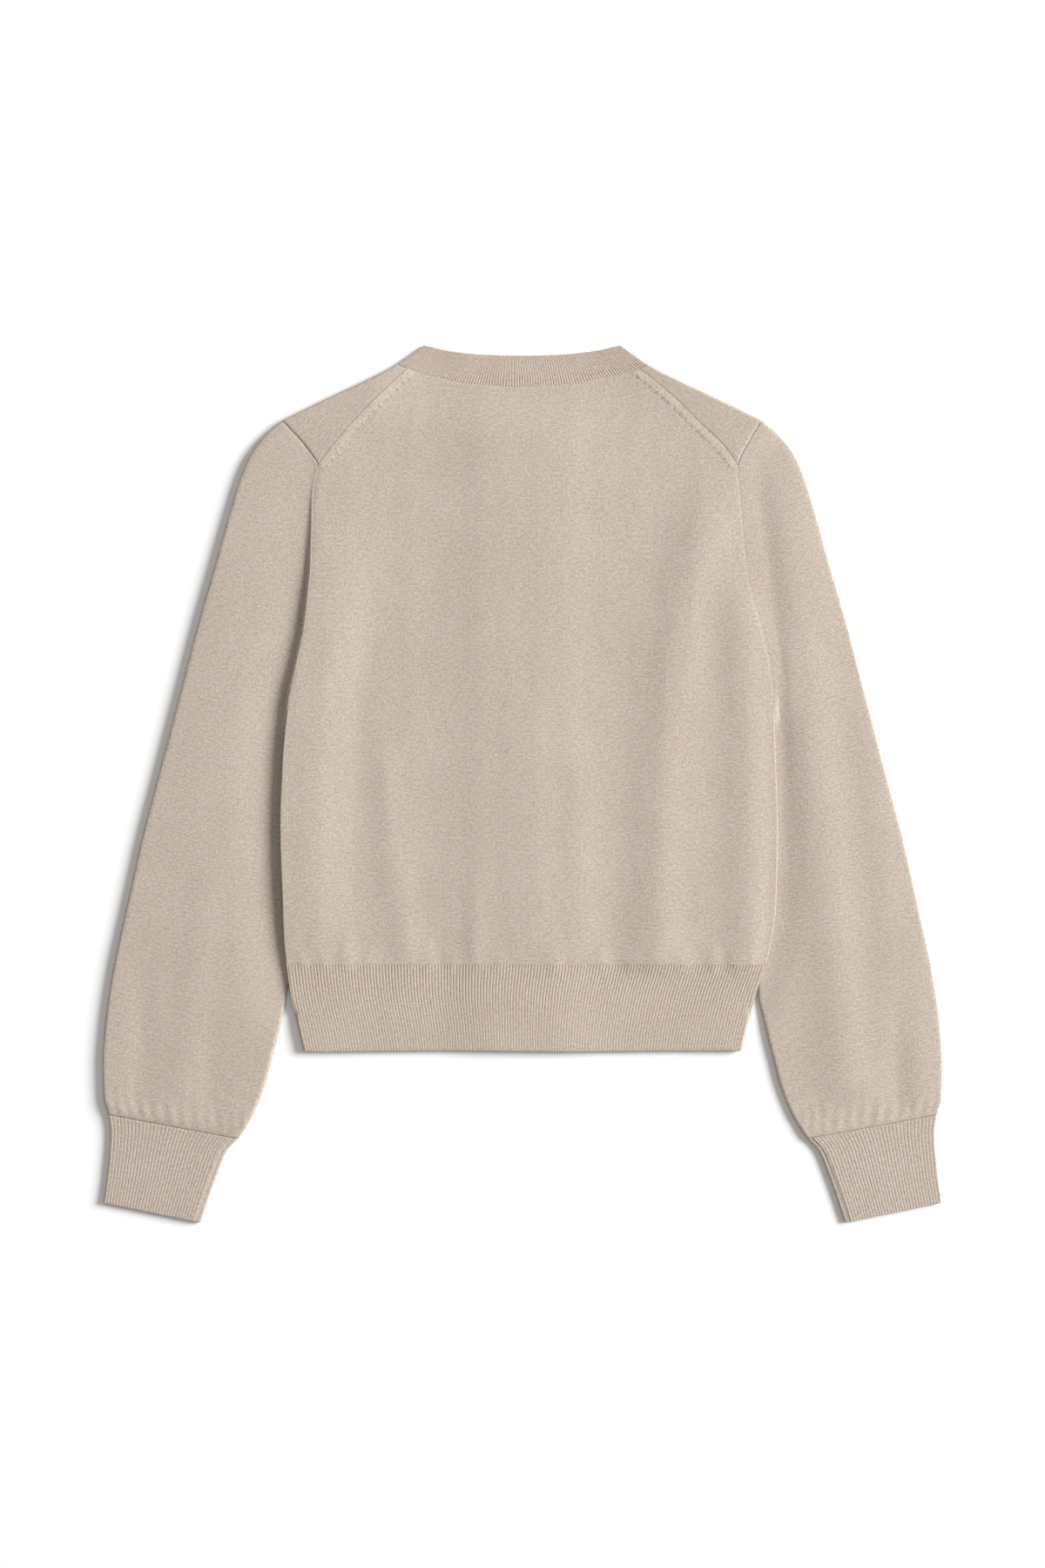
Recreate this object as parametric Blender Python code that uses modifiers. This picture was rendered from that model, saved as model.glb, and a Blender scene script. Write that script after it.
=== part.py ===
"""Fine-knit round-neck cardigan, laid flat on its front with its back up.

X runs to the garment's right-hand side as it is seen from above (the wearer's right),
Y towards the neck, Z up. The origin is under the middle of the garment, on the surface it lies on.
Lengths are in millimetres and become metres where a mesh is made. Each cloth piece is an
open middle surface with half a wall on either side of it. Two height fields, one for the
upper layer and one for the lower layer, say how high those middle surfaces lie.
"""

import math

import bpy
import numpy as np

MM = 0.001

# Cloth
WALL = 1.4
SEAM_GAP = 0.4
ARMHOLE_GAP = 0.7
LAYER_GAP = 0.3
LAYER = WALL + LAYER_GAP

# Buttons and the two bands that they close, one on the other
BUTTON_RADIUS = 5.7
BUTTON_THICK = 2.4
BUTTON_RIM = 1.3
BUTTON_DISH = 0.5
BUTTON_COUNT = 8
BUTTON_FIRST_Y = -193.0
BUTTON_LAST_Y = 245.0
BAND_HALF = 14.0
BAND_TOP_Y = 257.0

# Heights of the middle surfaces
FLOOR_MID = WALL / 2
LOW_BAND_MID = BUTTON_THICK + LAYER_GAP + WALL / 2
HIGH_BAND_MID = LOW_BAND_MID + LAYER
SIDE_LIFT = 2 * LAYER
EDGE_MID = FLOOR_MID + SIDE_LIFT + LAYER
CENTRE_LIFT = 1.1
SAG = 0.9
NECK_MID = 2.6
SLEEVE_MID = 5.7
CUFF_MID = 4.3

# Levels along the body
HEM_BOTTOM_Y = -204.7
HEM_TOP_Y = -138.3
UNDERARM_Y = 58.0
SHOULDER_Y = 278.0

# The body's edge, as distances from the centre line: armhole, side, hem
BODY_EDGE = (  # y, left, right
    (278.0, 184.2, 183.4),
    (269.0, 176.0, 177.4),
    (262.3, 169.8, 173.8),
    (255.0, 164.2, 169.4),
    (243.0, 156.9, 165.0),
    (223.0, 160.0, 166.7),
    (192.0, 160.9, 169.3),
    (165.0, 161.8, 172.5),
    (142.0, 164.0, 177.0),
    (120.0, 166.7, 183.0),
    (91.0, 172.7, 190.0),
    (73.0, 176.7, 192.0),
    (58.0, 179.5, 192.7),
    (20.0, 183.3, 193.7),
    (-34.0, 185.3, 195.3),
    (-94.0, 183.3, 194.0),
    (-117.0, 182.7, 191.0),
    (-138.3, 180.7, 186.5),
    (-161.7, 177.7, 178.6),
    (-187.0, 172.0, 172.0),
    (-204.7, 168.0, 168.0),
)

# The seam from the armhole up to the neckband, where the front joins the back
YOKE_SEAM = (  # share of the way up, left x, left y, right x, right y
    (0.0, -156.9, 243.0, 165.0, 243.0),
    (0.15, -146.6, 256.6, 155.8, 256.4),
    (0.4, -129.9, 276.4, 135.0, 277.0),
    (0.7, -109.9, 297.2, 112.2, 299.4),
    (1.0, -89.7, 316.3, 91.0, 316.7),
)

# The shoulder fold, from the armhole to the neckband, the same on both sides
SHOULDER_FOLD = (  # share, distance from the centre line, y
    (0.0, 184.2, 278.0),
    (0.2, 164.4, 287.8),
    (0.45, 141.0, 299.0),
    (0.7, 118.5, 309.6),
    (0.88, 104.0, 316.8),
    (1.0, 95.3, 321.7),
)

# The neckband: its sewn edge and its free edge, from fold to fold across the back
BACK_NECK = (  # share, sewn x, sewn y, free x, free y
    (0.0, -95.3, 321.7, -74.7, 336.4),
    (0.07, -81.3, 315.0, -63.0, 332.8),
    (0.16, -64.7, 310.9, -50.0, 330.6),
    (0.3, -36.7, 305.7, -29.0, 328.6),
    (0.5, 2.0, 303.6, 0.0, 327.9),
    (0.68, 33.3, 305.5, 28.0, 328.6),
    (0.84, 62.0, 310.6, 49.0, 330.6),
    (0.93, 81.5, 315.0, 63.0, 332.8),
    (1.0, 95.3, 321.7, 74.7, 336.4),
)
FRONT_NECK_Y = 232.0
FRONT_NECK_FREE_Y = 256.0

# The sleeve's outer edge, from the shoulder to the cuff, the same on both sides
SLEEVE_OUTER = (  # y, distance from the centre line
    (278.0, 184.2),
    (270.3, 193.3),
    (262.0, 201.0),
    (253.0, 207.6),
    (239.7, 214.0),
    (213.0, 222.7),
    (173.0, 234.0),
    (119.7, 249.3),
    (66.3, 263.3),
    (13.0, 277.3),
    (-40.3, 291.3),
    (-93.7, 303.3),
    (-147.0, 314.7),
    (-187.0, 320.2),
    (-213.0, 322.0),
    (-240.3, 321.3),
    (-254.0, 317.9),
    (-267.0, 316.2),
    (-293.7, 318.0),
    (-321.0, 321.6),
)

# Stations down the sleeve. Between the underarm and the hem, its inner edge is under the body.
SLEEVE_STATIONS = (  # outer y, inner distance from the body's edge (out is positive), inner y
    (262.0, 5.0, 48.0),
    (240.0, 1.0, 36.0),
    (208.0, -9.0, 20.0),
    (170.0, -17.0, 0.0),
    (125.0, -21.0, -24.0),
    (80.0, -22.0, -52.0),
    (30.0, -20.0, -80.0),
    (-20.0, -16.0, -106.0),
    (-70.0, -7.0, -132.0),
)
SLEEVE_FREE_STATIONS = (  # outer y, inner distance from the centre line, inner y
    (-120.0, 181.2, -160.0),
    (-160.0, 185.4, -183.0),
    (-195.0, 191.8, -209.0),
    (-222.0, 198.6, -234.0),
    (-242.0, 208.6, -257.0),
    (-253.2, 217.8, -271.4),
)
CUFF_STATIONS = (  # outer y, inner distance from the centre line, inner y
    (-254.1, 218.4, -272.3),
    (-267.0, 226.2, -280.4),
    (-293.7, 236.0, -304.0),
    (-321.0, 247.0, -336.2),
)
BOW_STATIONS = 3
EDGE_ROUND = 5.0
EDGE_POINT = 6
EDGE_CLEAR = 3.5

# Where the lower layer climbs over the sleeve's margin, and towards the bands
TUCK_INNER = (25.0, 45.0)
TUCK_START_Y = (62.0, 95.0)
TUCK_END_Y = (-190.0, -167.0)
BAND_CLIMB = (16.0, 46.0)

# Points along the pieces
SIDE_ROWS = (-138.3, -98.0, -58.0, -18.0, 22.0, 58.0)
ARMHOLE_ROWS = (58.0, 75.0, 97.0, 125.0, 155.0, 185.0, 215.0, 243.0)
FRONT_ARMHOLE_ROWS = (58.0, 75.0, 97.0, 125.0, 155.0, 185.0, 215.0, 243.0, 264.0)
FRONT_ARMHOLE_BOW = 20.0
YOKE_ROWS = (255.0, 267.0)
BACK_COLUMNS = 14
FRONT_COLUMNS = 7
HEM_ROWS = 3
NECK_ROWS = 5
CENTRE_FRONT_ROWS = 9
FOLD_ANGLES = (-90, -45, 0, 45, 90)
BAND_WIDTH_POINTS = 3

COLOURS = {  # base colour, roughness
    "body_knit": ((0.597, 0.509, 0.428), 0.95),
    "rib_knit": ((0.540, 0.452, 0.371), 0.95),
    "button": ((0.480, 0.385, 0.290), 0.35),
}


def ramp(value, low, high):
    """0 below low, 1 above high and a smooth S between them."""
    t = np.clip((value - low) / (high - low), 0.0, 1.0)
    return t * t * (3.0 - 2.0 * t)


def mix(a, b, share):
    return a + (b - a) * share


def column(table, key, value, by=0):
    """A table's column number key, read where its column number by has the value."""
    rows = sorted(table, key=lambda row: row[by])
    return np.interp(value, [row[by] for row in rows], [row[key] for row in rows])


def edge_of_body(side, y):
    """Distance from the centre line to the body's edge; side is -1 for left and 1 for right."""
    return column(BODY_EDGE, 1 if side < 0 else 2, y)


def inside_edge(x, y):
    """How far a place is inside the body's edge."""
    edge = np.where(np.asarray(x) < 0, edge_of_body(-1, y), edge_of_body(1, y))
    return edge - np.abs(x)


def lower_mid(x, y):
    """Height of the lower layer: on the surface, over the sleeves' margins, up to the bands."""
    under = ramp(y, *TUCK_END_Y) * (1 - ramp(y, *TUCK_START_Y))
    side = SIDE_LIFT * under * (1 - ramp(inside_edge(x, y), *TUCK_INNER))
    band = np.where(np.asarray(x) < 0, HIGH_BAND_MID, LOW_BAND_MID) - FLOOR_MID
    return FLOOR_MID + np.maximum(side, band * (1 - ramp(np.abs(x), *BAND_CLIMB)))


def upper_mid(x, y):
    """Height of the upper layer: over the bands, sagging beside them, down at sides and neck."""
    out = np.abs(x)
    sag = SAG * ramp(out, 25, 70) * (1 - ramp(out, 110, 160))
    level = EDGE_MID + CENTRE_LIFT * (1 - ramp(out, 20, 62)) - sag
    closed = np.where(y < UNDERARM_Y, lower_mid(x, y) + LAYER, EDGE_MID)
    level = mix(closed, level, ramp(inside_edge(x, y), 1, 16))
    return mix(level, NECK_MID, ramp(y, 262, 300) * (1 - ramp(out, 75, 150)))


def sleeve_top_mid(x, y):
    """Height of the sleeve's upper layer: at the armhole seam, under the body and further out."""
    at_edge = mix(FLOOR_MID + LAYER, EDGE_MID, ramp(y, 62, 100))
    open_part = ramp(-y, 165, 200)
    at_edge = mix(at_edge, SLEEVE_MID, open_part)
    return mix(at_edge, SLEEVE_MID, ramp(-inside_edge(x, y), 2, 28))


def with_height(points, field):
    return [np.array((x, y, float(field(x, y)))) for x, y in points]


def coons(bottom, top, left, right):
    """A grid of plan points between four lists that meet at their ends; left and right go up."""
    bottom, top, left, right = (np.array(side, float) for side in (bottom, top, left, right))
    steps = np.linalg.norm(np.diff(left, axis=0), axis=1) + np.linalg.norm(np.diff(right, axis=0), axis=1)
    along = np.concatenate([[0.0], np.cumsum(steps)]) / steps.sum()
    rows = []
    for v, start, end in zip(along, left, right):
        row = []
        for u, low, high in zip(np.linspace(0, 1, len(bottom)), bottom, top):
            corners = mix(mix(bottom[0], bottom[-1], u), mix(top[0], top[-1], u), v)
            row.append(mix(low, high, v) + mix(start, end, u) - corners)
        rows.append(row)
    return rows


def pull_in(row_points, towards, distance):
    """Moves each point of a seam's row towards the next row."""
    moved = []
    for point, inner in zip(row_points, towards):
        step = inner - point
        moved.append(point + step * (distance / np.linalg.norm(step)))
    return moved


def trim(rows, sides):
    """Takes half a seam gap off a grid along the named sides: first, last, left, right."""
    half = SEAM_GAP / 2
    if "first" in sides:
        rows[0] = pull_in(rows[0], rows[1], half)
    if "last" in sides:
        rows[-1] = pull_in(rows[-1], rows[-2], half)
    turned = [list(line) for line in zip(*rows)]
    if "left" in sides:
        turned[0] = pull_in(turned[0], turned[1], half)
    if "right" in sides:
        turned[-1] = pull_in(turned[-1], turned[-2], half)
    return [list(line) for line in zip(*turned)]


def material(name):
    found = bpy.data.materials.get(name)
    if found:
        return found
    colour, roughness = COLOURS[name]
    found = bpy.data.materials.new(name)
    found.use_nodes = True
    shader = found.node_tree.nodes["Principled BSDF"]
    shader.inputs["Base Color"].default_value = (*colour, 1.0)
    shader.inputs["Roughness"].default_value = roughness
    shader.inputs["Metallic"].default_value = 0.0
    return found


def cloth(name, rows, slot, collection, closed=False, flip=False):
    """A named cloth piece: the grid's middle surface, thickened by a wall that is centred on it."""
    count = len(rows[0])
    last = count if closed else count - 1
    faces = []
    for i in range(len(rows) - 1):
        for j in range(last):
            k = (j + 1) % count
            face = (i * count + j, i * count + k, (i + 1) * count + k, (i + 1) * count + j)
            faces.append(face[::-1] if flip else face)
    mesh = bpy.data.meshes.new(name)
    mesh.from_pydata([tuple(point * MM) for row in rows for point in row], [], faces)
    mesh.materials.append(material(slot))
    piece = bpy.data.objects.new(name, mesh)
    collection.objects.link(piece)
    wall = piece.modifiers.new("Wall", "SOLIDIFY")
    wall.thickness = WALL * MM
    wall.offset = 0.0
    wall.use_even_offset = False
    wall.use_quality_normals = True
    return piece


def side_name(side):
    return "left" if side < 0 else "right"


def hem_line(y, side=None):
    """Points along a level of the hem: the whole back, or one front from its side to its band."""
    if side is None:
        xs = np.linspace(-edge_of_body(-1, y), edge_of_body(1, y), BACK_COLUMNS + 1)
    else:
        start = side * edge_of_body(side, y)
        xs = np.linspace(start, side * (BAND_HALF + SEAM_GAP), FRONT_COLUMNS + 1)
    return [(x, y) for x in xs]


def yoke_seam_points(side):
    """The seam between front and back behind the shoulder, from the armhole to the neckband."""
    offset = 1 if side < 0 else 3
    shares = np.linspace(0, 1, FRONT_COLUMNS + 1)
    return [(float(column(YOKE_SEAM, offset, s)), float(column(YOKE_SEAM, offset + 1, s))) for s in shares]


def back_neck_line(kind):
    """The back neck from one yoke seam to the other, as shares of the neckband's length."""
    offset = 1 if kind == "sewn" else 3
    start = float(column(BACK_NECK, 0, -89.7, by=1))
    end = float(column(BACK_NECK, 0, 91.0, by=1))
    shares = np.linspace(start, end, BACK_COLUMNS + 1)
    return [(float(column(BACK_NECK, offset, s)), float(column(BACK_NECK, offset + 1, s))) for s in shares]


def make_back(collection):
    """The back panel, from the hem's rib up to the neckband and the two yoke seams."""
    edges = {}
    for side in (-1, 1):
        rising = [(side * edge_of_body(side, y), y) for y in SIDE_ROWS + ARMHOLE_ROWS[1:]]
        edges[side] = rising + yoke_seam_points(side)[1:]
    neck = back_neck_line("sewn")
    neck[0], neck[-1] = edges[-1][-1], edges[1][-1]
    plan = coons(hem_line(HEM_TOP_Y), neck, edges[-1], edges[1])
    plan = trim(plan, ("first", "last", "left", "right"))
    rows = [with_height(row, upper_mid) for row in plan]
    return cloth("back", rows, "body_knit", collection)


def front_armhole(side):
    """The front's armhole on the lower layer, from the underarm up to the shoulder fold."""
    low = edge_of_body(side, UNDERARM_Y)
    high = edge_of_body(side, SHOULDER_Y)
    points = []
    for y in FRONT_ARMHOLE_ROWS:
        share = (y - UNDERARM_Y) / (SHOULDER_Y - UNDERARM_Y)
        bow = FRONT_ARMHOLE_BOW * math.sin(math.pi * share ** 0.9)
        points.append((side * (mix(low, high, share) - bow), y))
    return points


def front_neck(side, kind):
    """A quarter ellipse down the front neck, from the fold to the band: sewn or free edge."""
    offset = 1 if kind == "sewn" else 3
    low = FRONT_NECK_Y if kind == "sewn" else FRONT_NECK_FREE_Y
    width, top = abs(BACK_NECK[0][offset]), BACK_NECK[0][offset + 1]
    last = math.acos((BAND_HALF + SEAM_GAP) / width)
    angles = np.linspace(0, last, NECK_ROWS + 1)
    return [(side * width * math.cos(a), top - (top - low) * math.sin(a)) for a in angles]


def fold_line(side):
    """The shoulder fold's middle line, half a wall inside the outline."""
    shares = np.linspace(0, 1, FRONT_COLUMNS + 1)
    points = []
    for share in shares:
        point = np.array([side * column(SHOULDER_FOLD, 1, share), column(SHOULDER_FOLD, 2, share)])
        points.append(point + fold_inward(side, share) * WALL / 2)
    return points


def fold_inward(side, share):
    """The level direction from the shoulder fold into the garment."""
    across = np.array([-side * mix(0.44, 0.49, share), -1.0])
    return across / np.linalg.norm(across)


def fold_arc(point, inward, start, end):
    """Points round a fold from the lower layer up to the upper layer."""
    radius = (end - start) / 2
    arc = []
    for angle in FOLD_ANGLES:
        turn = math.radians(angle)
        place = point + inward * radius * (1 - math.cos(turn))
        arc.append(np.array([place[0], place[1], start + radius * (1 + math.sin(turn))]))
    return arc


def make_front(side, collection):
    """One front: its panel on the lower layer, wrapped over the shoulder onto the back."""
    outer = [(side * edge_of_body(side, y), y) for y in SIDE_ROWS[:-1]] + front_armhole(side)
    fold = fold_line(side)
    outer.append(tuple(fold[0]))
    straight = np.linspace(HEM_TOP_Y, front_neck(side, "sewn")[-1][1], CENTRE_FRONT_ROWS + 1)
    inner = [(side * (BAND_HALF + SEAM_GAP), y) for y in straight]
    inner += front_neck(side, "sewn")[::-1][1:-1] + [tuple(fold[-1])]
    plan = coons(hem_line(HEM_TOP_Y, side), fold, outer, inner)
    plan = trim(plan, ("first",))
    arcs = []
    for share, point in zip(np.linspace(0, 1, FRONT_COLUMNS + 1), fold):
        top = float(upper_mid(*point))
        arcs.append(fold_arc(point, fold_inward(side, share), FLOOR_MID, top))
    turned = [list(line) for line in zip(*arcs)]
    low_start = [point[:2] for point in turned[0]]
    plan[-1] = low_start
    rows = [with_height(row, lower_mid) for row in plan[:-1]] + turned
    yoke_start = [point[:2] for point in turned[-1]]
    seam = [np.array(point) for point in yoke_seam_points(side)]
    armhole = [yoke_start[0]] + [np.array([side * edge_of_body(side, y), y]) for y in reversed(YOKE_ROWS)]
    armhole.append(seam[0])
    neck = [mix(yoke_start[-1], seam[-1], share) for share in np.linspace(0, 1, len(armhole))]
    yoke = trim(coons(yoke_start, seam, armhole, neck), ("last",))
    rows += [with_height(row, upper_mid) for row in yoke[1:]]
    rows = trim(rows, ("left", "right"))
    return cloth("front_" + side_name(side), rows, "body_knit", collection, flip=side < 0)


def make_hems(collection):
    """The deep ribs at the bottom of the back and of each front."""
    levels = np.linspace(HEM_TOP_Y, HEM_BOTTOM_Y, HEM_ROWS + 1)
    fronts = (("hem_front_left", -1, lower_mid), ("hem_front_right", 1, lower_mid))
    for name, side, field in (("hem_back", None, upper_mid), *fronts):
        plan = [[np.array(point) for point in hem_line(y, side)] for y in levels]
        rows = [with_height(row, field) for row in trim(plan, ("first",))]
        cloth(name, rows, "rib_knit", collection, flip=side != 1)


def make_neckband(collection):
    """The ribbed neckband: up one front, round its fold, across the back and down the other."""
    widths = np.linspace(0, 1, BAND_WIDTH_POINTS)
    halves = {}
    for side in (-1, 1):
        pairs = zip(front_neck(side, "sewn")[::-1], front_neck(side, "free")[::-1])
        plan = [[mix(np.array(sewn), np.array(free), w) for w in widths] for sewn, free in pairs]
        inward = fold_inward(side, 1.0)
        ends = [point + inward * WALL / 2 for point in plan[-1]]
        arcs = [fold_arc(point, inward, FLOOR_MID, float(upper_mid(*point))) for point in ends]
        turned = [list(line) for line in zip(*arcs)]
        halves[side] = [with_height(row, lower_mid) for row in plan[:-1]] + turned
    across = zip(back_neck_line("sewn"), back_neck_line("free"))
    middle = [[mix(np.array(sewn), np.array(free), w) for w in widths] for sewn, free in across]
    rows = halves[-1] + [with_height(row, upper_mid) for row in middle] + halves[1][::-1]
    rows = [list(line) for line in zip(*rows)]
    rows[0] = pull_in(rows[0], rows[1], SEAM_GAP)
    return cloth("neckband", rows, "rib_knit", collection)


def armhole_loop(side):
    """The body's armhole edge as (place, inner share) lists: under, round the fold and over."""
    fold = fold_line(side)[0]
    arc = fold_arc(fold, fold_inward(side, 0.0), FLOOR_MID, float(upper_mid(*fold)))
    over = [np.array([side * edge_of_body(side, y), y]) for y in YOKE_ROWS[::-1] + ARMHOLE_ROWS[::-1]]
    under = [np.array(point) for point in front_armhole(side)[::-1]]
    return arc, over, under


def shares_along(points):
    steps = np.linalg.norm(np.diff(np.array(points), axis=0), axis=1)
    return np.concatenate([[0.0], np.cumsum(steps)]) / steps.sum()


def rounded(distance, top, bottom, upward):
    """Height near a folded edge: the two layers meet half way, in a quarter ellipse."""
    middle, half = (top + bottom) / 2, (top - bottom) / 2
    t = np.clip(distance / EDGE_ROUND, 0.0, 1.0)
    return middle + upward * half * math.sqrt(1 - (1 - t) ** 2)


def shares_to_edge(shares, outer, inner):
    """Shares along a ring's upper layer, moved so that one point is just clear of the body's edge."""
    steps = np.linspace(0, 1, 101)
    depth = np.array([float(inside_edge(*mix(outer, inner, step))) for step in steps])
    if depth[-1] < -EDGE_CLEAR:
        return shares
    crossing = float(np.interp(-EDGE_CLEAR, depth[50:], steps[50:]))
    return np.interp(shares, (0, shares[EDGE_POINT], 1), (0, crossing, 1))


def tube_ring(outer, inner, over, under, bows, height):
    """One ring of a flattened tube: outer fold, upper layer, inner fold, lower layer."""
    across = (inner - outer) / np.linalg.norm(inner - outer)
    width = np.linalg.norm(inner - outer)
    edge_top = float(height(*outer))
    arc = fold_arc(outer, across, FLOOR_MID, edge_top)
    radius = (edge_top - FLOOR_MID) / 2
    ring = list(arc)
    for shares, upward, bow in ((over, 1, bows[0]), (under, -1, bows[1])):
        line = []
        for share, push in zip(shares, bow):
            place = outer + across * mix(radius, width, share) + push
            top = float(height(*place))
            left = width * (1 - share) * (1 - radius / width)
            line.append(np.array([*place, rounded(left, top, FLOOR_MID, upward)]))
        ring += line if upward > 0 else line[:-1][::-1]
    return ring


def sleeve_rings(side):
    """Rings down a sleeve, from the armhole loop to the cuff."""
    arc, over, under = armhole_loop(side)
    shift = np.array([side, 1.0]) * ARMHOLE_GAP
    over_shares = shares_along([arc[-1][:2]] + over)[1:]
    under_shares = shares_along([arc[0][:2]] + under)[1:]
    ring = [point + np.append(shift, 0.0) for point in arc]
    ring += [np.array([*(p + shift), float(sleeve_top_mid(*(p + shift)))]) for p in over[:-1]]
    tip = over[-1] + shift
    ring.append(np.array([*tip, (FLOOR_MID + float(sleeve_top_mid(*tip))) / 2]))
    ring += [np.array([*(p + shift), FLOOR_MID]) for p in under[:-1][::-1]]
    first_outer, first_inner = arc[2][:2] + shift, tip
    bows = []
    for points, shares in ((over, over_shares), (under, under_shares)):
        chord = [mix(first_outer, first_inner, share) for share in shares]
        bows.append([np.array(p) + shift - c for p, c in zip(points, chord)])
    rings = [ring]
    stations = [(y, edge_of_body(side, inner_y) + out, inner_y) for y, out, inner_y in SLEEVE_STATIONS]
    stations += list(SLEEVE_FREE_STATIONS)
    for number, (outer_y, inner_x, inner_y) in enumerate(stations, 1):
        outer = np.array([side * (column(SLEEVE_OUTER, 1, outer_y) - WALL / 2), outer_y])
        inner = np.array([side * inner_x, inner_y])
        fade = 1 - ramp(number, 0, BOW_STATIONS)
        pushes = [[push * fade for push in bow] for bow in bows]
        clear = shares_to_edge(over_shares, outer, inner)
        rings.append(tube_ring(outer, inner, clear, under_shares, pushes, tube_height))
    return rings, over_shares, under_shares


def tube_height(x, y):
    """The upper layer's height on sleeve and cuff, which is flatter."""
    return mix(float(sleeve_top_mid(x, y)), CUFF_MID, ramp(-y, 222, 262))


def make_sleeve(side, collection):
    """A sleeve and its ribbed cuff, both flattened tubes."""
    rings, over, under = sleeve_rings(side)
    cloth("sleeve_" + side_name(side), rings, "body_knit", collection, closed=True, flip=side < 0)
    level = [[np.zeros(2)] * len(over), [np.zeros(2)] * len(under)]
    cuff = []
    for outer_y, inner_x, inner_y in CUFF_STATIONS:
        outer = np.array([side * (column(SLEEVE_OUTER, 1, outer_y) - WALL / 2), outer_y])
        inner = np.array([side * inner_x, inner_y])
        cuff.append(tube_ring(outer, inner, over, under, level, tube_height))
    cloth("cuff_" + side_name(side), cuff, "rib_knit", collection, closed=True, flip=side < 0)


def make_bands(collection):
    """The two ribbed bands: the right-hand one underneath carries the buttonholes."""
    length = BAND_TOP_Y - HEM_BOTTOM_Y
    for name, mid in (("button_band_right", LOW_BAND_MID), ("button_band_left", HIGH_BAND_MID)):
        place = (0.0, (BAND_TOP_Y + HEM_BOTTOM_Y) / 2 * MM, mid * MM)
        bpy.ops.mesh.primitive_cube_add(size=1.0, location=place)
        band = bpy.context.object
        band.name = name
        band.scale = (2 * BAND_HALF * MM, length * MM, WALL * MM)
        bpy.ops.object.transform_apply(location=False, rotation=False, scale=True)
        band.data.materials.append(material("rib_knit"))
        move_to(band, collection)


def make_buttons(collection):
    """Round buttons with a raised rim, face down under the lower band."""
    dish = BUTTON_RADIUS - BUTTON_RIM
    profile = (  # radius, height: from the middle of the face round to the middle of the back
        (0.0, BUTTON_DISH),
        (dish - 0.6, BUTTON_DISH),
        (dish, 0.0),
        (BUTTON_RADIUS - 0.5, 0.0),
        (BUTTON_RADIUS, 0.6),
        (BUTTON_RADIUS, BUTTON_THICK - 0.8),
        (BUTTON_RADIUS - 1.0, BUTTON_THICK),
        (0.0, BUTTON_THICK),
    )
    mesh = bpy.data.meshes.new("button")
    points = [(radius * MM, 0.0, height * MM) for radius, height in reversed(profile)]
    mesh.from_pydata(points, [(i, i + 1) for i in range(len(points) - 1)], [])
    mesh.materials.append(material("button"))
    for number, y in enumerate(np.linspace(BUTTON_FIRST_Y, BUTTON_LAST_Y, BUTTON_COUNT), 1):
        button = bpy.data.objects.new(f"button_{number}", mesh)
        button.location = (0.0, float(y) * MM, 0.0)
        collection.objects.link(button)
        turn = button.modifiers.new("Turn", "SCREW")
        turn.steps = 20
        turn.render_steps = 20
        turn.use_merge_vertices = True
        turn.merge_threshold = 0.00001


def move_to(piece, collection):
    for other in list(piece.users_collection):
        other.objects.unlink(piece)
    collection.objects.link(piece)


def main():
    for leftover in list(bpy.data.objects):
        bpy.data.objects.remove(leftover, do_unlink=True)
    collection = bpy.data.collections.new("cardigan")
    bpy.context.scene.collection.children.link(collection)
    make_back(collection)
    make_neckband(collection)
    make_hems(collection)
    for side in (-1, 1):
        make_front(side, collection)
        make_sleeve(side, collection)
    make_bands(collection)
    make_buttons(collection)


main()
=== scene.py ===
"""Looks of a fine-knit round-neck cardigan, laid flat on its front with its back up.

X runs to the right as the garment is seen from above, Y towards the neck, Z up. Lengths are in
millimetres and become metres where a mesh is made. Each cloth piece is a grid of places on its
middle surface, with half a wall on either side and rounded rims. Height fields say how high the
upper layer, the lower layer and the sleeves lie, with their soft folds.
"""

import math

import bpy
import numpy as np
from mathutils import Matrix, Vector


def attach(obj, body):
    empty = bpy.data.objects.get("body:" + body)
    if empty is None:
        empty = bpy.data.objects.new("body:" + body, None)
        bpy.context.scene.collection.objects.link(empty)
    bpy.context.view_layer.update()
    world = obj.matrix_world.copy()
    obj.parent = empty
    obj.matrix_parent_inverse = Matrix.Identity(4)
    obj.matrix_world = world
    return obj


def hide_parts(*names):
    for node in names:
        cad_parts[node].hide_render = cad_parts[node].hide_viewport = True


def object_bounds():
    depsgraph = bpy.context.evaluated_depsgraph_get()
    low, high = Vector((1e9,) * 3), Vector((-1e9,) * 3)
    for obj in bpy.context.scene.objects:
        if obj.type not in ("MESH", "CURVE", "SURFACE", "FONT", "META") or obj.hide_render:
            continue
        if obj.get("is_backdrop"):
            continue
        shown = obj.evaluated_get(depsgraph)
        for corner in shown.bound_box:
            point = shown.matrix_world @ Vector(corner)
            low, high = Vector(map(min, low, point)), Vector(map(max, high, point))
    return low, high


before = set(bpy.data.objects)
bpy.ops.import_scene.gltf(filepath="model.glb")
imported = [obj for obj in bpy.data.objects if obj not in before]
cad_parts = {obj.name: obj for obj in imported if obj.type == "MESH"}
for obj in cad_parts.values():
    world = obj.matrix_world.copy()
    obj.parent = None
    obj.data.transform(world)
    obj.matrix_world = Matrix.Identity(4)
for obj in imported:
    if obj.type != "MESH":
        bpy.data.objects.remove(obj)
CAD_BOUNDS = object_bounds()

MM = 0.001
FAR = 900.0  # farther than any place on the garment

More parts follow.
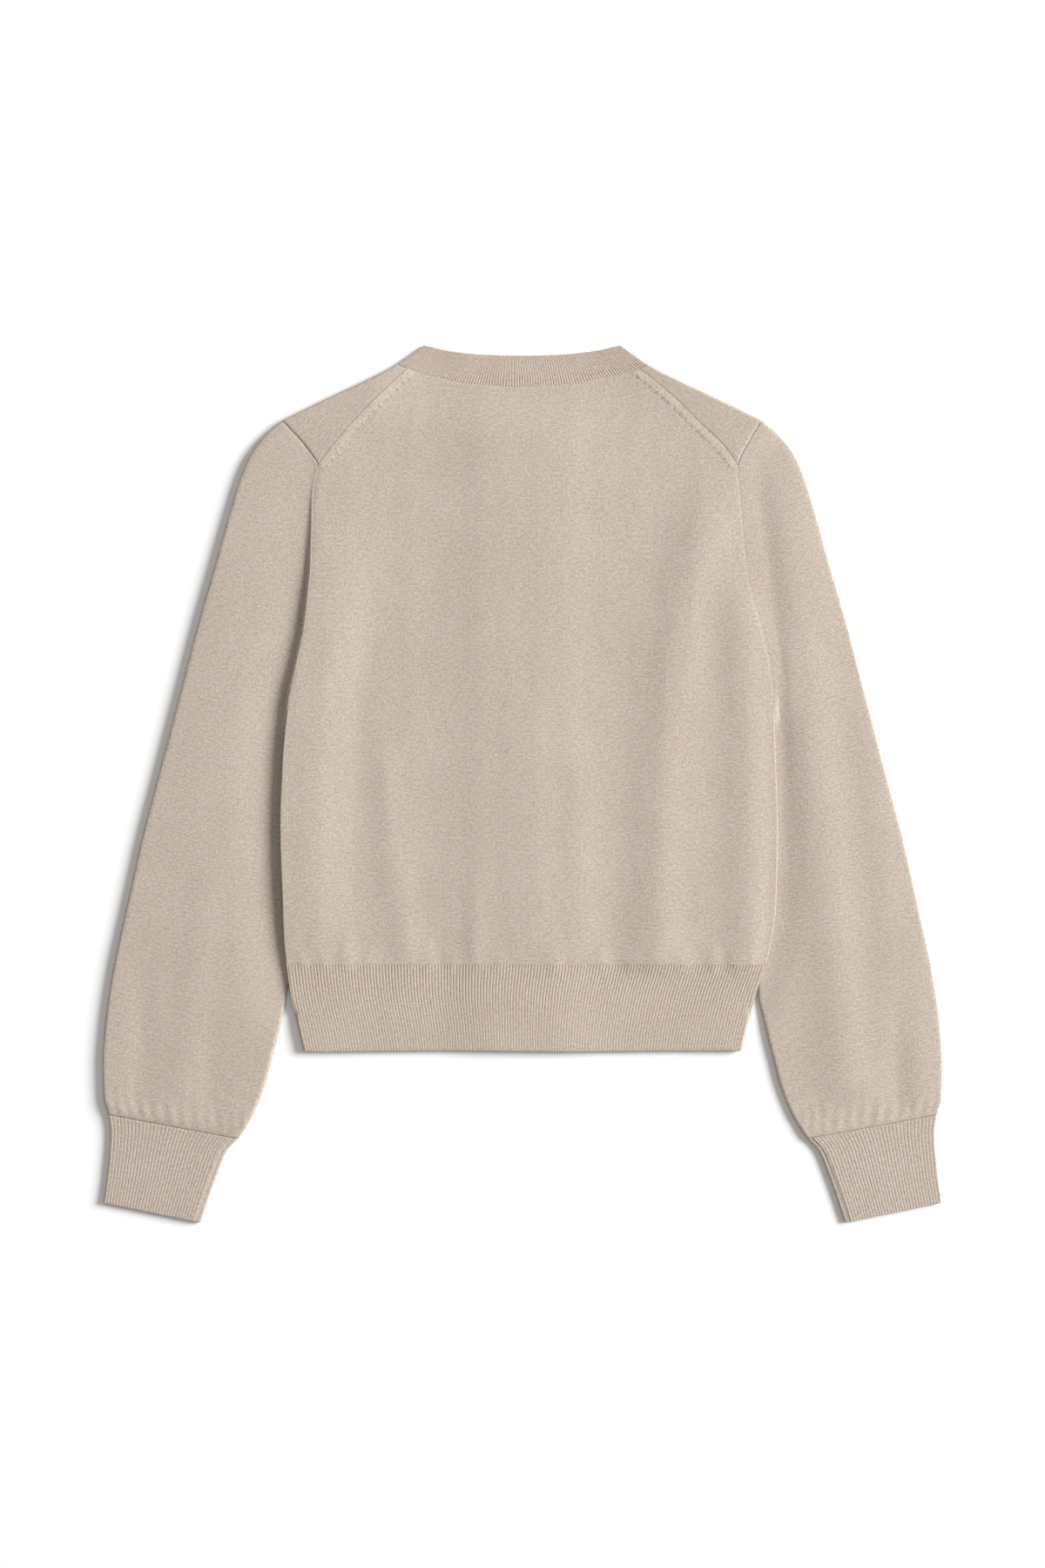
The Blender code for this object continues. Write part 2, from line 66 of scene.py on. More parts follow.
# Cloth. RIM and ROLL are the distances of the first rows from an edge, where the wall rounds off.
WALL = 1.4
RIM = (0.0, 0.1, 0.32, 0.7)
ROLL = (*RIM, 1.2, 1.8, 2.6)
ONE_EDGE = (0.0,)
LAYER_GAP = 0.3
LAYER = WALL + LAYER_GAP

# Pieces overlap a little in their seams, so the gaps are negative. The leans are rim_lean's.
SEAM_GAP = -0.15
ARMHOLE_GAP = -0.3
FLUSH = -1.0
SEAM_FLUSH = -0.94
NECK_FLUSH = -0.4

# Knitting: pitches of wales, courses and ribs, and the depth of the ribs' grooves
WALE = 1.37
COURSE = 0.88
RIB = 2.35
NECK_RIB = 1.9
CUFF_RIBS = 34
RIB_SAMPLES = 6
RIB_DEPTH = 0.46
RIB_INSIDE = 0.3
HEM_DEPTH = (0.9, 0.5)
HEM_DEPTH_FALL = (8, 45)
CUFF_DEPTH = (0.45, 0.12)
CUFF_DEPTH_FALL = (5, 22)
NECK_DEPTH = (0.9375, 0.45)
NECK_DEPTH_FALL = (0.2, 0.4)
BAND_DEPTH = 0.8

# Buttons and bands
BUTTON_RADIUS = 5.7
BUTTON_THICK = 2.4
BUTTON_RIM = 1.3
BUTTON_DISH = 0.5
BUTTON_COUNT = 8
BUTTON_FIRST_Y = -193.0
BUTTON_LAST_Y = 245.0
BUTTON_HOLE = 0.75
BUTTON_HOLE_PLACE = 1.45
BUTTONHOLE_OVER = 1.6
BUTTONHOLE_WIDE = 0.9
THREAD_RADIUS = 0.26
THREAD_OFF = 0.04
THREAD_FLAT = 0.72
THREAD_CLIMB = 1.14
BAND_HALF = 14.0
BAND_TOP_Y = 257.0
BAND_EDGE = BAND_HALF + SEAM_GAP

# Heights of the middle surfaces; of a pair, the first is the left sleeve's
FLOOR_MID = WALL / 2
LOW_BAND_MID = BUTTON_THICK + LAYER_GAP + WALL / 2
HIGH_BAND_MID = LOW_BAND_MID + LAYER
SIDE_LIFT = 2 * LAYER
EDGE_MID = FLOOR_MID + SIDE_LIFT + LAYER
CENTRE_LIFT = 1.1
CENTRE_REACH = (20, 62)
SAG = 0.9
SAG_START = (25, 70)
SAG_END = (110, 160)
NECK_MID = 2.6
NECK_FALL_Y = (262, 300)
NECK_FALL_X = (60, 120)
SLEEVE_MID = (5.7, 4.3)
CUFF_MID = 4.3
CUFF_START_RISE = 0.4

# Levels along the body
HEM_BOTTOM_Y = -204.7
HEM_TOP_Y = -138.3
UNDERARM_Y = 58.0
YOKE_Y = 243.0
SHOULDER_Y = 278.0
CHAIN_Y = (110.0, SHOULDER_Y - 4)

# Lengths that the grids are spaced for, and their steps
BACK_WIDTH, BACK_LENGTH, SIDE_LENGTH, YOKE_LENGTH = 362.0, 450.0, 196.0, 98.0
FRONT_WIDTH, FRONT_LENGTH, WRAP_LENGTH, FRONT_HEM_WIDTH = 160.0, 420.0, 40.0, 168.0
NECK_WIDTH, CUFF_LENGTH = 24.0, 70.0
BACK_STEP, SIDE_STEP, YOKE_STEP, ARMHOLE_ROWS = 2.2, 2.4, 2.0, 78
FRONT_STEP, FRONT_ROW_STEP, WRAP_STEP = 2.7, 3.6, 1.7
HEM_STEP, FRONT_HEM_STEP, NECK_STEP, BAND_STEP = 2.6, 5.0, 2.0, 5.5
SLEEVE_STEP, CUFF_STEP = 2.7, 3.2
SLEEVE_RING = (54, 34)
INNER_ROUND_SHARE = 0.04

# The body's edge, as distances from the centre line: armhole, side, hem
BODY_EDGE = (  # y, left, right
    (278, 184.2, 183.4),
    (269, 176, 177.4),
    (262.3, 169.8, 173.8),
    (255, 164.2, 169.4),
    (243, 156.9, 165),
    (223, 160, 166.7),
    (192, 160.9, 169.3),
    (165, 161.8, 172.5),
    (142, 164, 177),
    (120, 166.7, 183),
    (91, 172.7, 190),
    (73, 176.7, 192),
    (58, 179.5, 192.7),
    (20, 183.3, 193.7),
    (-34, 185.3, 195.3),
    (-94, 183.3, 194),
    (-117, 182.7, 191),
    (-138.3, 180.7, 186.5),
    (-161.7, 177.7, 178.6),
    (-187, 172, 172),
    (-204.7, 168, 168),
)

# The seam from the armhole up to the neckband, where the front joins the back
YOKE_SEAM = (  # share of the way up, left x, left y, right x, right y
    (0, -156.9, 243, 165, 243),
    (0.15, -146.6, 256.6, 155.8, 256.4),
    (0.4, -129.9, 276.4, 135, 277),
    (0.7, -109.9, 297.2, 112.2, 299.4),
    (1, -88, 318, 88.9, 318.35),
)

# The shoulder fold, from the armhole to the neckband, the same on both sides
SHOULDER_FOLD = (  # share, distance from the centre line, y
    (0, 184.2, 278),
    (0.2, 164.4, 287.8),
    (0.45, 141, 299),
    (0.7, 118.5, 309.6),
    (0.88, 104, 316.8),
    (1, 95.3, 321.7),
)

# The neckband: its sewn edge and its free edge, from fold to fold across the back
BACK_NECK = (  # share, sewn x, sewn y, free x, free y
    (0, -95.3, 321.7, -74.7, 336.4),
    (0.07, -81.3, 315, -63, 332.8),
    (0.16, -64.7, 310.9, -50, 330.6),
    (0.3, -36.7, 305.7, -29, 328.6),
    (0.5, 2, 303.6, 0, 327.9),
    (0.68, 33.3, 305.5, 28, 328.6),
    (0.84, 62, 310.6, 49, 330.6),
    (0.93, 81.5, 315, 63, 332.8),
    (1, 95.3, 321.7, 74.7, 336.4),
)
SEWN, FREE = 1, 3
FRONT_NECK_Y = {SEWN: 232.0, FREE: 256.0}
FRONT_ARMHOLE_BOW = 20.0

# The sleeve's outer edge, from the shoulder to the cuff, the same on both sides
SLEEVE_OUTER = (  # y, distance from the centre line
    (278, 184.2),
    (270.3, 193.3),
    (262, 201),
    (253, 207.6),
    (239.7, 214),
    (213, 222.7),
    (173, 234),
    (119.7, 249.3),
    (66.3, 263.3),
    (13, 277.3),
    (-40.3, 291.3),
    (-93.7, 303.3),
    (-147, 314.7),
    (-187, 320.2),
    (-213, 322),
    (-240.3, 321.3),
    (-254, 317.9),
    (-267, 316.2),
    (-293.7, 318),
    (-321, 321.6),
)

# Stations down the sleeve. Between the underarm and the hem, its inner edge is under the body.
SLEEVE_STATIONS = (  # outer y, inner distance from the body's edge (out is positive), inner y
    (278, 0, 58),
    (262, -3, 48),
    (240, -8, 36),
    (208, -13, 20),
    (170, -17, 0),
    (125, -21, -24),
    (80, -22, -52),
    (30, -20, -80),
    (-20, -16, -106),
    (-70, -7, -132),
)
SLEEVE_FREE_STATIONS = (  # outer y, inner distance from the centre line, inner y
    (-120, 181.2, -160),
    (-160, 185.4, -183),
    (-195, 191.8, -209),
    (-222, 198.6, -234),
    (-242, 208.6, -257),
    (-253.6, 218.05, -271.8),
)
CUFF_STATIONS = (  # outer y, inner distance from the centre line, inner y
    (-253.6, 218.05, -271.8),
    (-267, 226.2, -280.4),
    (-293.7, 236, -304),
    (-321, 247, -336.2),
)

# The line that the sleeve's wales follow: its middle wale, folded along the outer edge
SLEEVE_WALE = (  # y, distance from the centre line
    (300, 200),
    (213, 222.7),
    (119.7, 249.3),
    (13, 277.3),
    (-93.7, 303.3),
    (-187, 318),
    (-254, 321),
    (-330, 322),
)
BOW_STATIONS = 3  # where the armhole's curve has faded from the sleeve's rings
BOW_UNDERARM = (3.0, 0.6)  # the same beside the underarm, on the upper and on the lower layer
ARMHOLE_CLIMB = (0.5, 9.0)
EDGE_ROUND = 2.4
FOLD_FLAT = 0.6
FOLD_WAY = (0.44, 0.49)
CUFF_SEAM = (3.7, 4.6)
CUFF_SEAM_STEP = 0.6
CUFF_START = 0.25

# How the hem's ribs fan and its lower edge waves
FAN = 0.008
FAN_FALL = (0, 60)
WAVE = 0.35
WAVE_LENGTH = 31.0
WAVE_FALL = (40, 66)

# Where the lower layer climbs over the sleeve's margin, and towards the bands
TUCK_INNER = (25, 45)
TUCK_START_Y = (62, 95)
TUCK_END_Y = (-190, -167)
BAND_CLIMB = (16, 46)

# Where the upper layer comes down to the body's edge below the underarm
EDGE_START = 0.3
EDGE_REACH = (1.6, 12.0)
EDGE_REACH_Y = (-185, -155)

# How deep the sleeve dips beside the armhole seam
ARMHOLE_DIP = (  # y, left, right
    (262, 0, 0),
    (243, 0.3, 0.1),
    (215, 1, 0.2),
    (160, 1.9, 0.3),
    (100, 2.4, 0.4),
    (58, 2.4, 0.4),
)
SEAM_DIP = 0.25
SEAM_DIP_Y = (58, 70)
SEAM_FOLDS_Y = (40, 90)
DIP_START = 0.4
DIP_END = (2.6, 4.0, 12.0)  # left, right at the underarm, right higher up
DIP_END_Y = 120
DIP_FADE = 20.0

# How the sleeve comes out from under the body, and climbs to its own height
OPEN_LEFT_Y = (62, 100)
OPEN_RIGHT_Y = (30, 75)
FREE_Y = (165, 200)
CLIMB_START = 1.5
CLIMB_REACH = (40.0, 24.0)
FOLDS_SHOWN = (2, 14)
SLEEVE_FOLD_ENDS = (30.0, 14.0)

# The body's left side stands up over the sleeve and comes down further in
LEFT_RISE = 4.2
LEFT_RISE_INNER = (20, 60)
LEFT_RISE_UNDER = (5, 28)
LEFT_RISE_SEAM = (50, 60)
LEFT_RISE_TOP_Y = (110, 235)
LEFT_RISE_END_Y = (-165, -75)

# Soft folds. Each is a ridge with a line through three places; a negative height is a trough.
BODY_FOLDS = (  # x1, y1, x2, y2, x3, y3, half width, height
    (140, 215, 111, 45, 102, -150, 21, 3.4),
    (166, 150, 172, 10, 172, -150, 14, 2),
    (-106, 25, -98, -65, -87, -150, 12, 1.3),
    (-37, -85, -37, -110, -37, -150, 8, 0.8),
    (3, 60, 6, -40, 10, -150, 20, 1.1),
    (45, 20, 45, -60, 45, -150, 13, 1.1),
    (-120, 235, -112, 180, -108, 120, 26, 0.5),
    (-98, 318, -120, 285, -146, 245, 20, 1.3),
    (60, 240, 40, 150, 30, 60, 34, 0.5),
)
HEM_GATHERS = (  # x, half width, height, reach above the hem
    (-168, 5, 0.68, 16),
    (-152, 6, 0.54, 22),
    (-135, 6.5, 0.94, 34),
    (-117, 5.5, 0.54, 20),
    (-72, 6, 0.81, 30),
    (-54, 5, 0.54, 18),
    (-19, 5.5, 0.54, 20),
    (24, 6, 0.81, 32),
    (60, 6.5, 0.94, 30),
    (82, 5, 0.54, 18),
    (122, 6, 0.81, 26),
    (146, 5, 0.94, 24),
    (163, 5, 0.68, 18),
)
BODY_FOLD_ENDS = (28.0, 28.0)
HEM_FADE = 14.0
HEM_FOLD_START = 4.0

SLEEVE_FOLDS = (  # side, x1, y1, x2, y2, x3, y3, half width, height
    (1, 197, 240, 219, 67, 250, -240, 20, 2.5),
    (1, 179, 240, 188, 175, 198, 75, 7, -0.8),
    (1, 206, 262, 222, 187, 236, 110, 12, 0.7),
    (1, 262, 60, 276, -60, 284, -200, 15, 1.2),
    (1, 286, -170, 287, -210, 287, -250, 8, -0.8),
    (1, 300, -110, 305, -180, 306, -245, 12, 0.9),
    (1, 226, -250, 233, -257, 240, -264, 2.2, -0.5),
    (-1, 238, -60, 251, -150, 262, -240, 13, 0.8),
    (-1, 214, 190, 238, 60, 262, -60, 24, 0.7),
    (-1, 292, -150, 291, -200, 292, -250, 9, -0.7),
    (-1, 297, -232, 297, -242, 298, -252, 2.6, -0.5),
    (-1, 238, -200, 238, -235, 239, -262, 8, -0.5),
    (-1, 228, -248, 234, -256, 240, -264, 2.2, -0.6),
)
CUFF_GATHER = 0.45
CUFF_GATHER_PITCH = 9.5
CUFF_GATHER_REACH = 26.0
CUFF_GATHER_SWAY = (1.3, 17.0)
CUFF_LEVEL_REACH = 8.0

# The strip of wales that follows the yoke seam, and the row of narrowing marks beside it, each mark
# drawn as painted shade in its hole and a painted highlight on its stitch
STRIP = 6.2
STRIP_RAISE = 0.4
STRIP_EDGE = (STRIP - 1.4, STRIP + 1.0)
STRIP_START = (-4, 8)
STRIP_Y = 236
STRIP_LIGHTER = 0.10
MARK_PITCH = 6.2
MARK_LINE_Y = 150.0
MARK_HALF_X = 20
MARK_FAR = 30.0
MARK_HALF = 1.5
MARK_ENDS = (0.30, 0.62)  # shares of the pitch: the painted shade of the mark's hole and then the painted highlight on its stitch
MARK_SWAY, MARK_SWAY_SCALE = 0.9, 160.0
# How much the painted shade in a mark's hole darkens the colour, and how much the painted highlight
# on its stitch lightens it
MARK_SHADE_HIGHLIGHT = (-0.17, 0.09)
STRIP_PALE_EDGE = -0.8

# Hues of the heathered yarns: the dark and the light one of each piece. The hem's, the cuffs' and
# the neckband's are darker than the body's.
WARM = (1.020, 1.0, 0.972)
COOL = (0.982, 1.0, 1.030)
BODY_YARNS = ((0.470, 0.383, 0.309), (0.641, 0.568, 0.506))
HEM_YARNS = ((0.400, 0.323, 0.256), (0.549, 0.481, 0.419))
CUFF_YARNS = ((0.386, 0.313, 0.255), (0.531, 0.467, 0.417))
NECK_YARNS = ((0.420, 0.336, 0.267), (0.578, 0.500, 0.437))
HORN = ((0.40, 0.30, 0.21), (0.60, 0.50, 0.39))

# Noises of the light yarn's share: fine flecks, small flecks, short streaks along the courses
HEATHER = (  # stretch of the wales, seed, scale, detail, roughness, contrast from, to, weight
    (1.0, 0.7, 1150.0, 1.0, 0.5, 0.32, 0.68, 0.55),
    (1.0, 0.5, 520.0, 2.0, 0.6, 0.34, 0.66, 0.5),
    (0.3, 0.3, 640.0, 2.0, 0.5, 0.34, 0.66, 0.24),
)
CLOUD_SCALE = 24.0
CLOUD = 0.35
FIBRE_SCALE = 1900.0
HUE_SCALE = 115.0
WANDER, WANDER_SCALE = 1.1, 45.0  # how far the wales wander
LEG_SLANT = 1.7

# Light, floor and camera
KEY_TURN, KEY_RISE, KEY_REACH = math.radians(18), math.radians(30), 9.0
KEY_SIZE, KEY_WATTS, KEY_COLOUR = 4.95, 1385.0, (1.0, 0.995, 0.98)
TOP_PLACE, TOP_SIZE, TOP_WATTS, TOP_COLOUR = (-0.3, 0.3, 3.4), 2.2, 12.0, (0.98, 0.985, 1.0)
SURROUND, SURROUND_STRENGTH = (1.0, 0.95, 0.90, 1.0), 0.30
FLOOR_COLOUR, FLOOR_SIZE, FLOOR_Z = (0.93, 0.945, 0.96, 1.0), 8.0, -0.05 * MM
LENS, SENSOR = 72.0, 36.0
CAMERA_PLACE = (0.0, -0.0003, 2.405)


def ramp(value, low, high):
    """0 below low, 1 above high and a smooth S between them."""
    t = np.clip((np.asarray(value, float) - low) / (high - low), 0.0, 1.0)
    return t * t * (3.0 - 2.0 * t)


def mix(a, b, share):
    return a + (b - a) * share


def pair(x, y):
    return np.stack(np.broadcast_arrays(x, y), axis=-1)


def curve(keys, values, at):
    """A smooth line through the points, which doesn't swing past them."""
    keys, values = np.asarray(keys, float), np.asarray(values, float)
    gaps = np.diff(keys)
    rise = np.diff(values) / gaps
    slope = np.empty_like(values)
    same = rise[:-1] * rise[1:] > 0
    total = np.where(same, rise[:-1] + rise[1:], 1.0)
    slope[1:-1] = np.where(same, 2 * rise[:-1] * rise[1:] / total, 0.0)
    slope[0], slope[-1] = rise[0], rise[-1]
    at = np.clip(at, keys[0], keys[-1])
    k = np.clip(np.searchsorted(keys, at) - 1, 0, len(keys) - 2)
    t = (at - keys[k]) / gaps[k]
    start = (1 + 2 * t) * (1 - t) ** 2 * values[k] + t * (1 - t) ** 2 * gaps[k] * slope[k]
    return start + t * t * (3 - 2 * t) * values[k + 1] + t * t * (t - 1) * gaps[k] * slope[k + 1]


def column(table, number, value):
    """A table's column of that number, read where its first column has the value."""
    rows = sorted(table)
    return curve([row[0] for row in rows], [row[number] for row in rows], value)


def line_of(table, number, value):
    """Plan points from a table's column of that number and the next one."""
    return pair(column(table, number, value), column(table, number + 1, value))


def edge_of_body(side, y):
    """Distance from the centre line to the body's edge; side is -1 for left and 1 for right."""
    return column(BODY_EDGE, 1 if side < 0 else 2, y)


def inside_edge(x, y):
    """How far a place is inside the body's edge."""
    return np.where(x < 0, edge_of_body(-1, y), edge_of_body(1, y)) - np.abs(x)


def fold_height(x, y, path, half_width, height, ends):
    """One soft ridge along a line through three places, fading at its two ends."""
    x1, y1, x2, y2, x3, y3 = path
    centre = curve((y3, y2, y1), (x3, x2, x1), y)
    fade = ramp(y, y3 - ends[1], y3 + ends[1]) * (1 - ramp(y, y1 - ends[0], y1 + ends[0]))
    return height * fade * np.exp(-(((x - centre) / half_width) ** 2))


def left_rise(x, y, reach):
    """How far the left side of the body stands up."""
    rise = ramp(y, *LEFT_RISE_END_Y) * (1 - ramp(y, *LEFT_RISE_TOP_Y))
    return np.where(x < 0, LEFT_RISE * rise * (1 - ramp(inside_edge(x, y), *reach)), 0.0)


def body_folds(x, y):
    """The soft folds of the back: long ones that run down, and gathers over the hem's rib."""
    total = np.zeros_like(x)
    for *path, half_width, height in BODY_FOLDS:
        total += fold_height(x, y, path, half_width, height, BODY_FOLD_ENDS)
    above_hem = ramp(y, HEM_TOP_Y - HEM_FADE, HEM_TOP_Y)
    for centre, half_width, height, reach in HEM_GATHERS:
        fade = above_hem * (1 - ramp(y, HEM_TOP_Y, HEM_TOP_Y + reach))
        total += height * fade * np.exp(-(((x - centre) / half_width) ** 2))
    return total * ramp(y, HEM_TOP_Y - HEM_FADE, HEM_TOP_Y + HEM_FOLD_START)


def side_mid(x, y):
    """Height of the lower layer beside the bands: on the surface and over the sleeves' margins."""
    under = ramp(y, *TUCK_END_Y) * (1 - ramp(y, *TUCK_START_Y))
    side = SIDE_LIFT * (1 - ramp(inside_edge(x, y), *TUCK_INNER))
    return FLOOR_MID + under * (side + left_rise(x, y, LEFT_RISE_UNDER))


def lower_mid(x, y):
    """Height of the lower layer: on the surface, over the sleeves' margins, up to the bands."""
    band = np.where(x < 0, HIGH_BAND_MID, LOW_BAND_MID)
    return np.maximum(side_mid(x, y), mix(FLOOR_MID, band, 1 - ramp(np.abs(x), *BAND_CLIMB)))


def armhole_level(x, y):
    """Height of the armhole seam, which the body's folds and its left side lift."""
    level = EDGE_MID - SEAM_DIP * ramp(y, *SEAM_DIP_Y) + left_rise(x, y, LEFT_RISE_SEAM)
    return level + body_folds(x, y) * ramp(y, *SEAM_FOLDS_Y)


def upper_mid(x, y):
    """Height of the upper layer: over the bands, sagging beside them, down at sides and neck."""
    out = np.abs(x)
    sag = SAG * ramp(out, *SAG_START) * (1 - ramp(out, *SAG_END))
    level = EDGE_MID + CENTRE_LIFT * (1 - ramp(out, *CENTRE_REACH)) - sag
    level = level + body_folds(x, y) + left_rise(x, y, LEFT_RISE_INNER)
    closed = np.where(y < UNDERARM_Y, side_mid(x, y) + LAYER, armhole_level(x, y))
    reach = np.where(y < UNDERARM_Y, mix(*EDGE_REACH, ramp(y, *EDGE_REACH_Y)), ROLL[-1])
    level = mix(closed, level, ramp(inside_edge(x, y), EDGE_START, reach))
    level = mix(level, NECK_MID, ramp(y, *NECK_FALL_Y) * (1 - ramp(out, *NECK_FALL_X)))
    return np.maximum(level, side_mid(x, y) + LAYER)


def sleeve_top_mid(x, y):
    """Height of the sleeve's upper layer: at the armhole seam, under the body and further out."""
    left = x < 0
    opened = np.where(left, ramp(y, *OPEN_LEFT_Y), ramp(y, *OPEN_RIGHT_Y))
    dip = EDGE_MID - np.where(left, column(ARMHOLE_DIP, 1, y), column(ARMHOLE_DIP, 2, y))
    sleeve_mid = np.where(left, *SLEEVE_MID)
    at_edge = mix(mix(FLOOR_MID + LAYER, dip, opened), sleeve_mid, ramp(-y, *FREE_Y))
    outside = -inside_edge(x, y)
    climb = ramp(outside, CLIMB_START, CLIMB_START + np.where(left, *CLIMB_REACH))
    level = mix(at_edge, sleeve_mid, climb)
    shown = ramp(outside, *FOLDS_SHOWN)
    for side, *path, half_width, height in SLEEVE_FOLDS:
        ridge = fold_height(np.abs(x), y, path, half_width, height, SLEEVE_FOLD_ENDS)
        level = level + np.where(side * x > 0, ridge, 0.0) * shown
    end = np.where(left, DIP_END[0], mix(*DIP_END[1:], ramp(y, UNDERARM_Y, DIP_END_Y)))
    at_seam = (1 - ramp(outside, DIP_START, end)) * ramp(y, UNDERARM_Y - DIP_FADE, UNDERARM_Y)
    return mix(level, armhole_level(x, y), at_seam)


def run_of(points):
    """Distance along a line to each of its points."""
    steps = np.linalg.norm(np.diff(np.asarray(points, float), axis=0), axis=1)
    return np.concatenate([[0.0], np.cumsum(steps)])


def read(run, points, at):
    """Places on a line of points, where the run along it has the values at."""
    return np.stack([np.interp(at, run, part) for part in points.T], axis=-1)


def along(points, shares):
    """Places at shares of a line's length."""
    run = run_of(points)
    return read(run, np.asarray(points, float), np.asarray(shares) * run[-1])


def spaced(length, step, start=RIM, end=RIM):
    """Shares of a length, close together at its ends, where the wall rounds off."""
    count = max(2, round((length - start[-1] - end[-1]) / step))
    middle = np.linspace(start[-1], length - end[-1], count + 1)
    return np.concatenate([start[:-1], middle, length - np.array(end[:-1])[::-1]]) / length


def gap_shares(shares, length, gap):
    """Shares that start and end half a seam gap inside the seams."""
    return gap / 2 / length + shares * (1 - gap / length)


def mean_shares(first, second):
    """Shares along two lines with the same number of places."""
    run = run_of(first) + run_of(second)
    return run / run[-1]


def coons(bottom, top, left, right, u, v, corners=None):
    """A grid of plan points between four lists, which meet at their ends.

    Where they stop short of a panel's seams, corners has the panel's own: two low, two high."""
    if corners is None:
        corners = bottom[0], bottom[-1], top[0], top[-1]
    across, up = u[None, :, None], v[:, None, None]
    low, high = (mix(*two, across) for two in (corners[:2], corners[2:]))
    sides = mix(left[:, None], right[:, None], across)
    return mix(bottom[None], top[None], up) + sides - mix(low, high, up)


def normals(places, closed):
    """Unit normals of a grid of places."""
    if closed:
        across = np.roll(places, -1, axis=1) - np.roll(places, 1, axis=1)
    else:
        across = np.gradient(places, axis=1)
    n = np.cross(across, np.gradient(places, axis=0))
    return n / np.maximum(np.linalg.norm(n, axis=2, keepdims=True), 1e-9)


def rim_wall(places, closed):
    """Wall thickness, which rounds off to nothing at the rims."""
    def runs(axis):
        steps = np.linalg.norm(np.diff(places, axis=axis), axis=2)
        run = np.concatenate([np.zeros_like(steps.take([0], axis)), np.cumsum(steps, axis)], axis)
        return np.minimum(run, run.take([-1], axis) - run)
    near = runs(0) if closed else np.minimum(runs(0), runs(1))
    t = np.clip(near / RIM[-1], 0.0, 1.0)
    return WALL * np.sqrt(1 - (1 - t) ** 2)


def quads_of(grid, closed, way):
    """Four-cornered faces between a grid's neighbours, turned over where way is -1."""
    if closed:
        grid = np.column_stack([grid, grid[:, 0]])
    quads = np.stack([grid[:-1, :-1], grid[:-1, 1:], grid[1:, 1:], grid[1:, :-1]], axis=-1)
    return quads.reshape(-1, 4)[:, ::way]


def at_corners(uv, shape, corners):
    """Coordinates at the faces' corners. Three parts are a plain pair, the pair of a strip that
    follows a seam, and the distance to that seam."""
    if len(uv) == 3:
        in_strip = uv[2].ravel()[corners].mean(axis=1) < STRIP
        strip, plain = (at_corners(part, shape, corners) for part in (uv[1], uv[0]))
        return np.where(in_strip[:, None, None], strip, plain)
    return np.stack([np.broadcast_to(part, shape).ravel() for part in uv], axis=-1)[corners]


def smooth_mesh(name, points, faces, shade):
    mesh = bpy.data.meshes.new(name)
    mesh.from_pydata(points.tolist(), [], faces)
    mesh.polygons.foreach_set("use_smooth", np.ones(len(faces), bool))
    mesh.materials.append(shade)
    return mesh


def add_uv(mesh, name, values):
    layer = mesh.uv_layers.new(name=name)
    layer.data.foreach_set("uv", values.astype(np.float32).ravel())


def new_object(name, data):
    thing = bpy.data.objects.new(name, data)
    bpy.context.scene.collection.objects.link(thing)
    return thing


def shell(name, places, uv, shade, outward, closed=False, lean=0.0, outside=0.0, inside=0.0,
          marks=None):
    """A cloth piece from its middle surface: outer and inner side, welded at the rims.

    uv and marks are coordinates in millimetres, as at_corners takes them; uv is across the wales
    and along them. outside and inside are the depths of grooves on the two sides."""
    rows, count = places.shape[:2]
    n = normals(places, closed) * outward
    wall = rim_wall(places, closed)
    share = wall / WALL
    middle = -np.asarray(lean) * (WALL - wall) / 2
    outer = places + n * (middle + wall / 2 - outside * share)[..., None]
    inner = places + n * (middle - wall / 2 + inside * share)[..., None]
    index = np.arange(rows * count).reshape(rows, count)
    rim = np.zeros((rows, count), bool)
    rim[[0, -1]] = True
    if not closed:
        rim[:, [0, -1]] = True
    below = np.where(rim, index, index + rows * count)
    used = np.concatenate([np.ones(rows * count, bool), ~rim.ravel()])
    renumber = np.cumsum(used) - 1
    points = np.concatenate([outer.reshape(-1, 3), inner.reshape(-1, 3)])[used] * MM
    layers = ((index, outward), (below, -outward))
    faces = np.concatenate([quads_of(renumber[grid], closed, way) for grid, way in layers])
    corners = np.concatenate([quads_of(index, closed, way) for _, way in layers])
    mesh = smooth_mesh(name, points, faces.tolist(), shade)
    add_uv(mesh, "knit", at_corners(uv, (rows, count), corners) * MM)
    if marks is not None:
        add_uv(mesh, "marks", at_corners(marks, (rows, count), corners) * MM)
    mesh.update()
    ends = np.empty(len(mesh.edges) * 2, np.int32)
    mesh.edges.foreach_get("vertices", ends)
    on_rim = np.zeros(len(points), bool)
    on_rim[renumber[index[rim]]] = True
    mesh.edges.foreach_set("use_edge_sharp", on_rim[ends.reshape(-1, 2)].all(axis=1))
    return new_object(name, mesh)


def nearest(points, line):
    """For plan points, the distance to a line and how far along it the nearest place is."""
    run, flat, batch = run_of(line), points.reshape(-1, 2), 4000
    distance, place = np.empty(len(flat)), np.empty(len(flat))
    for start in range(0, len(flat), batch):
        part = slice(start, start + batch)
        gaps = np.linalg.norm(flat[part, None] - line[None], axis=2)
        distance[part], place[part] = gaps.min(axis=1), run[gaps.argmin(axis=1)]
    return distance.reshape(points.shape[:2]), place.reshape(points.shape[:2])


def rib_profile(phase):
    """Depth of a rib's groove, from 0 on the ridge to 1 in the groove."""
    return (1 - np.abs(np.cos(math.pi * phase))) ** 1.2


def rim_lean(shape, first=0.0, last=0.0, sides=0.0):
    """How each rim rounds off: 0 evenly, 1 with a flat inner side, -1 with a flat outer side."""
    lean = np.broadcast_to(np.asarray(sides, float), shape).copy()
    lean[:len(RIM)] = first
    lean[-len(RIM):] = last
    return lean


def with_height(plan, field):
    return np.dstack([plan, field(plan[..., 0], plan[..., 1])])


def side_name(side):
    return "left" if side < 0 else "right"


def yoke_seam(side):
    """The seam between front and back behind the shoulder, from the armhole to the neckband."""
    return line_of(YOKE_SEAM, 1 if side < 0 else 3, np.linspace(0, 1, 120))


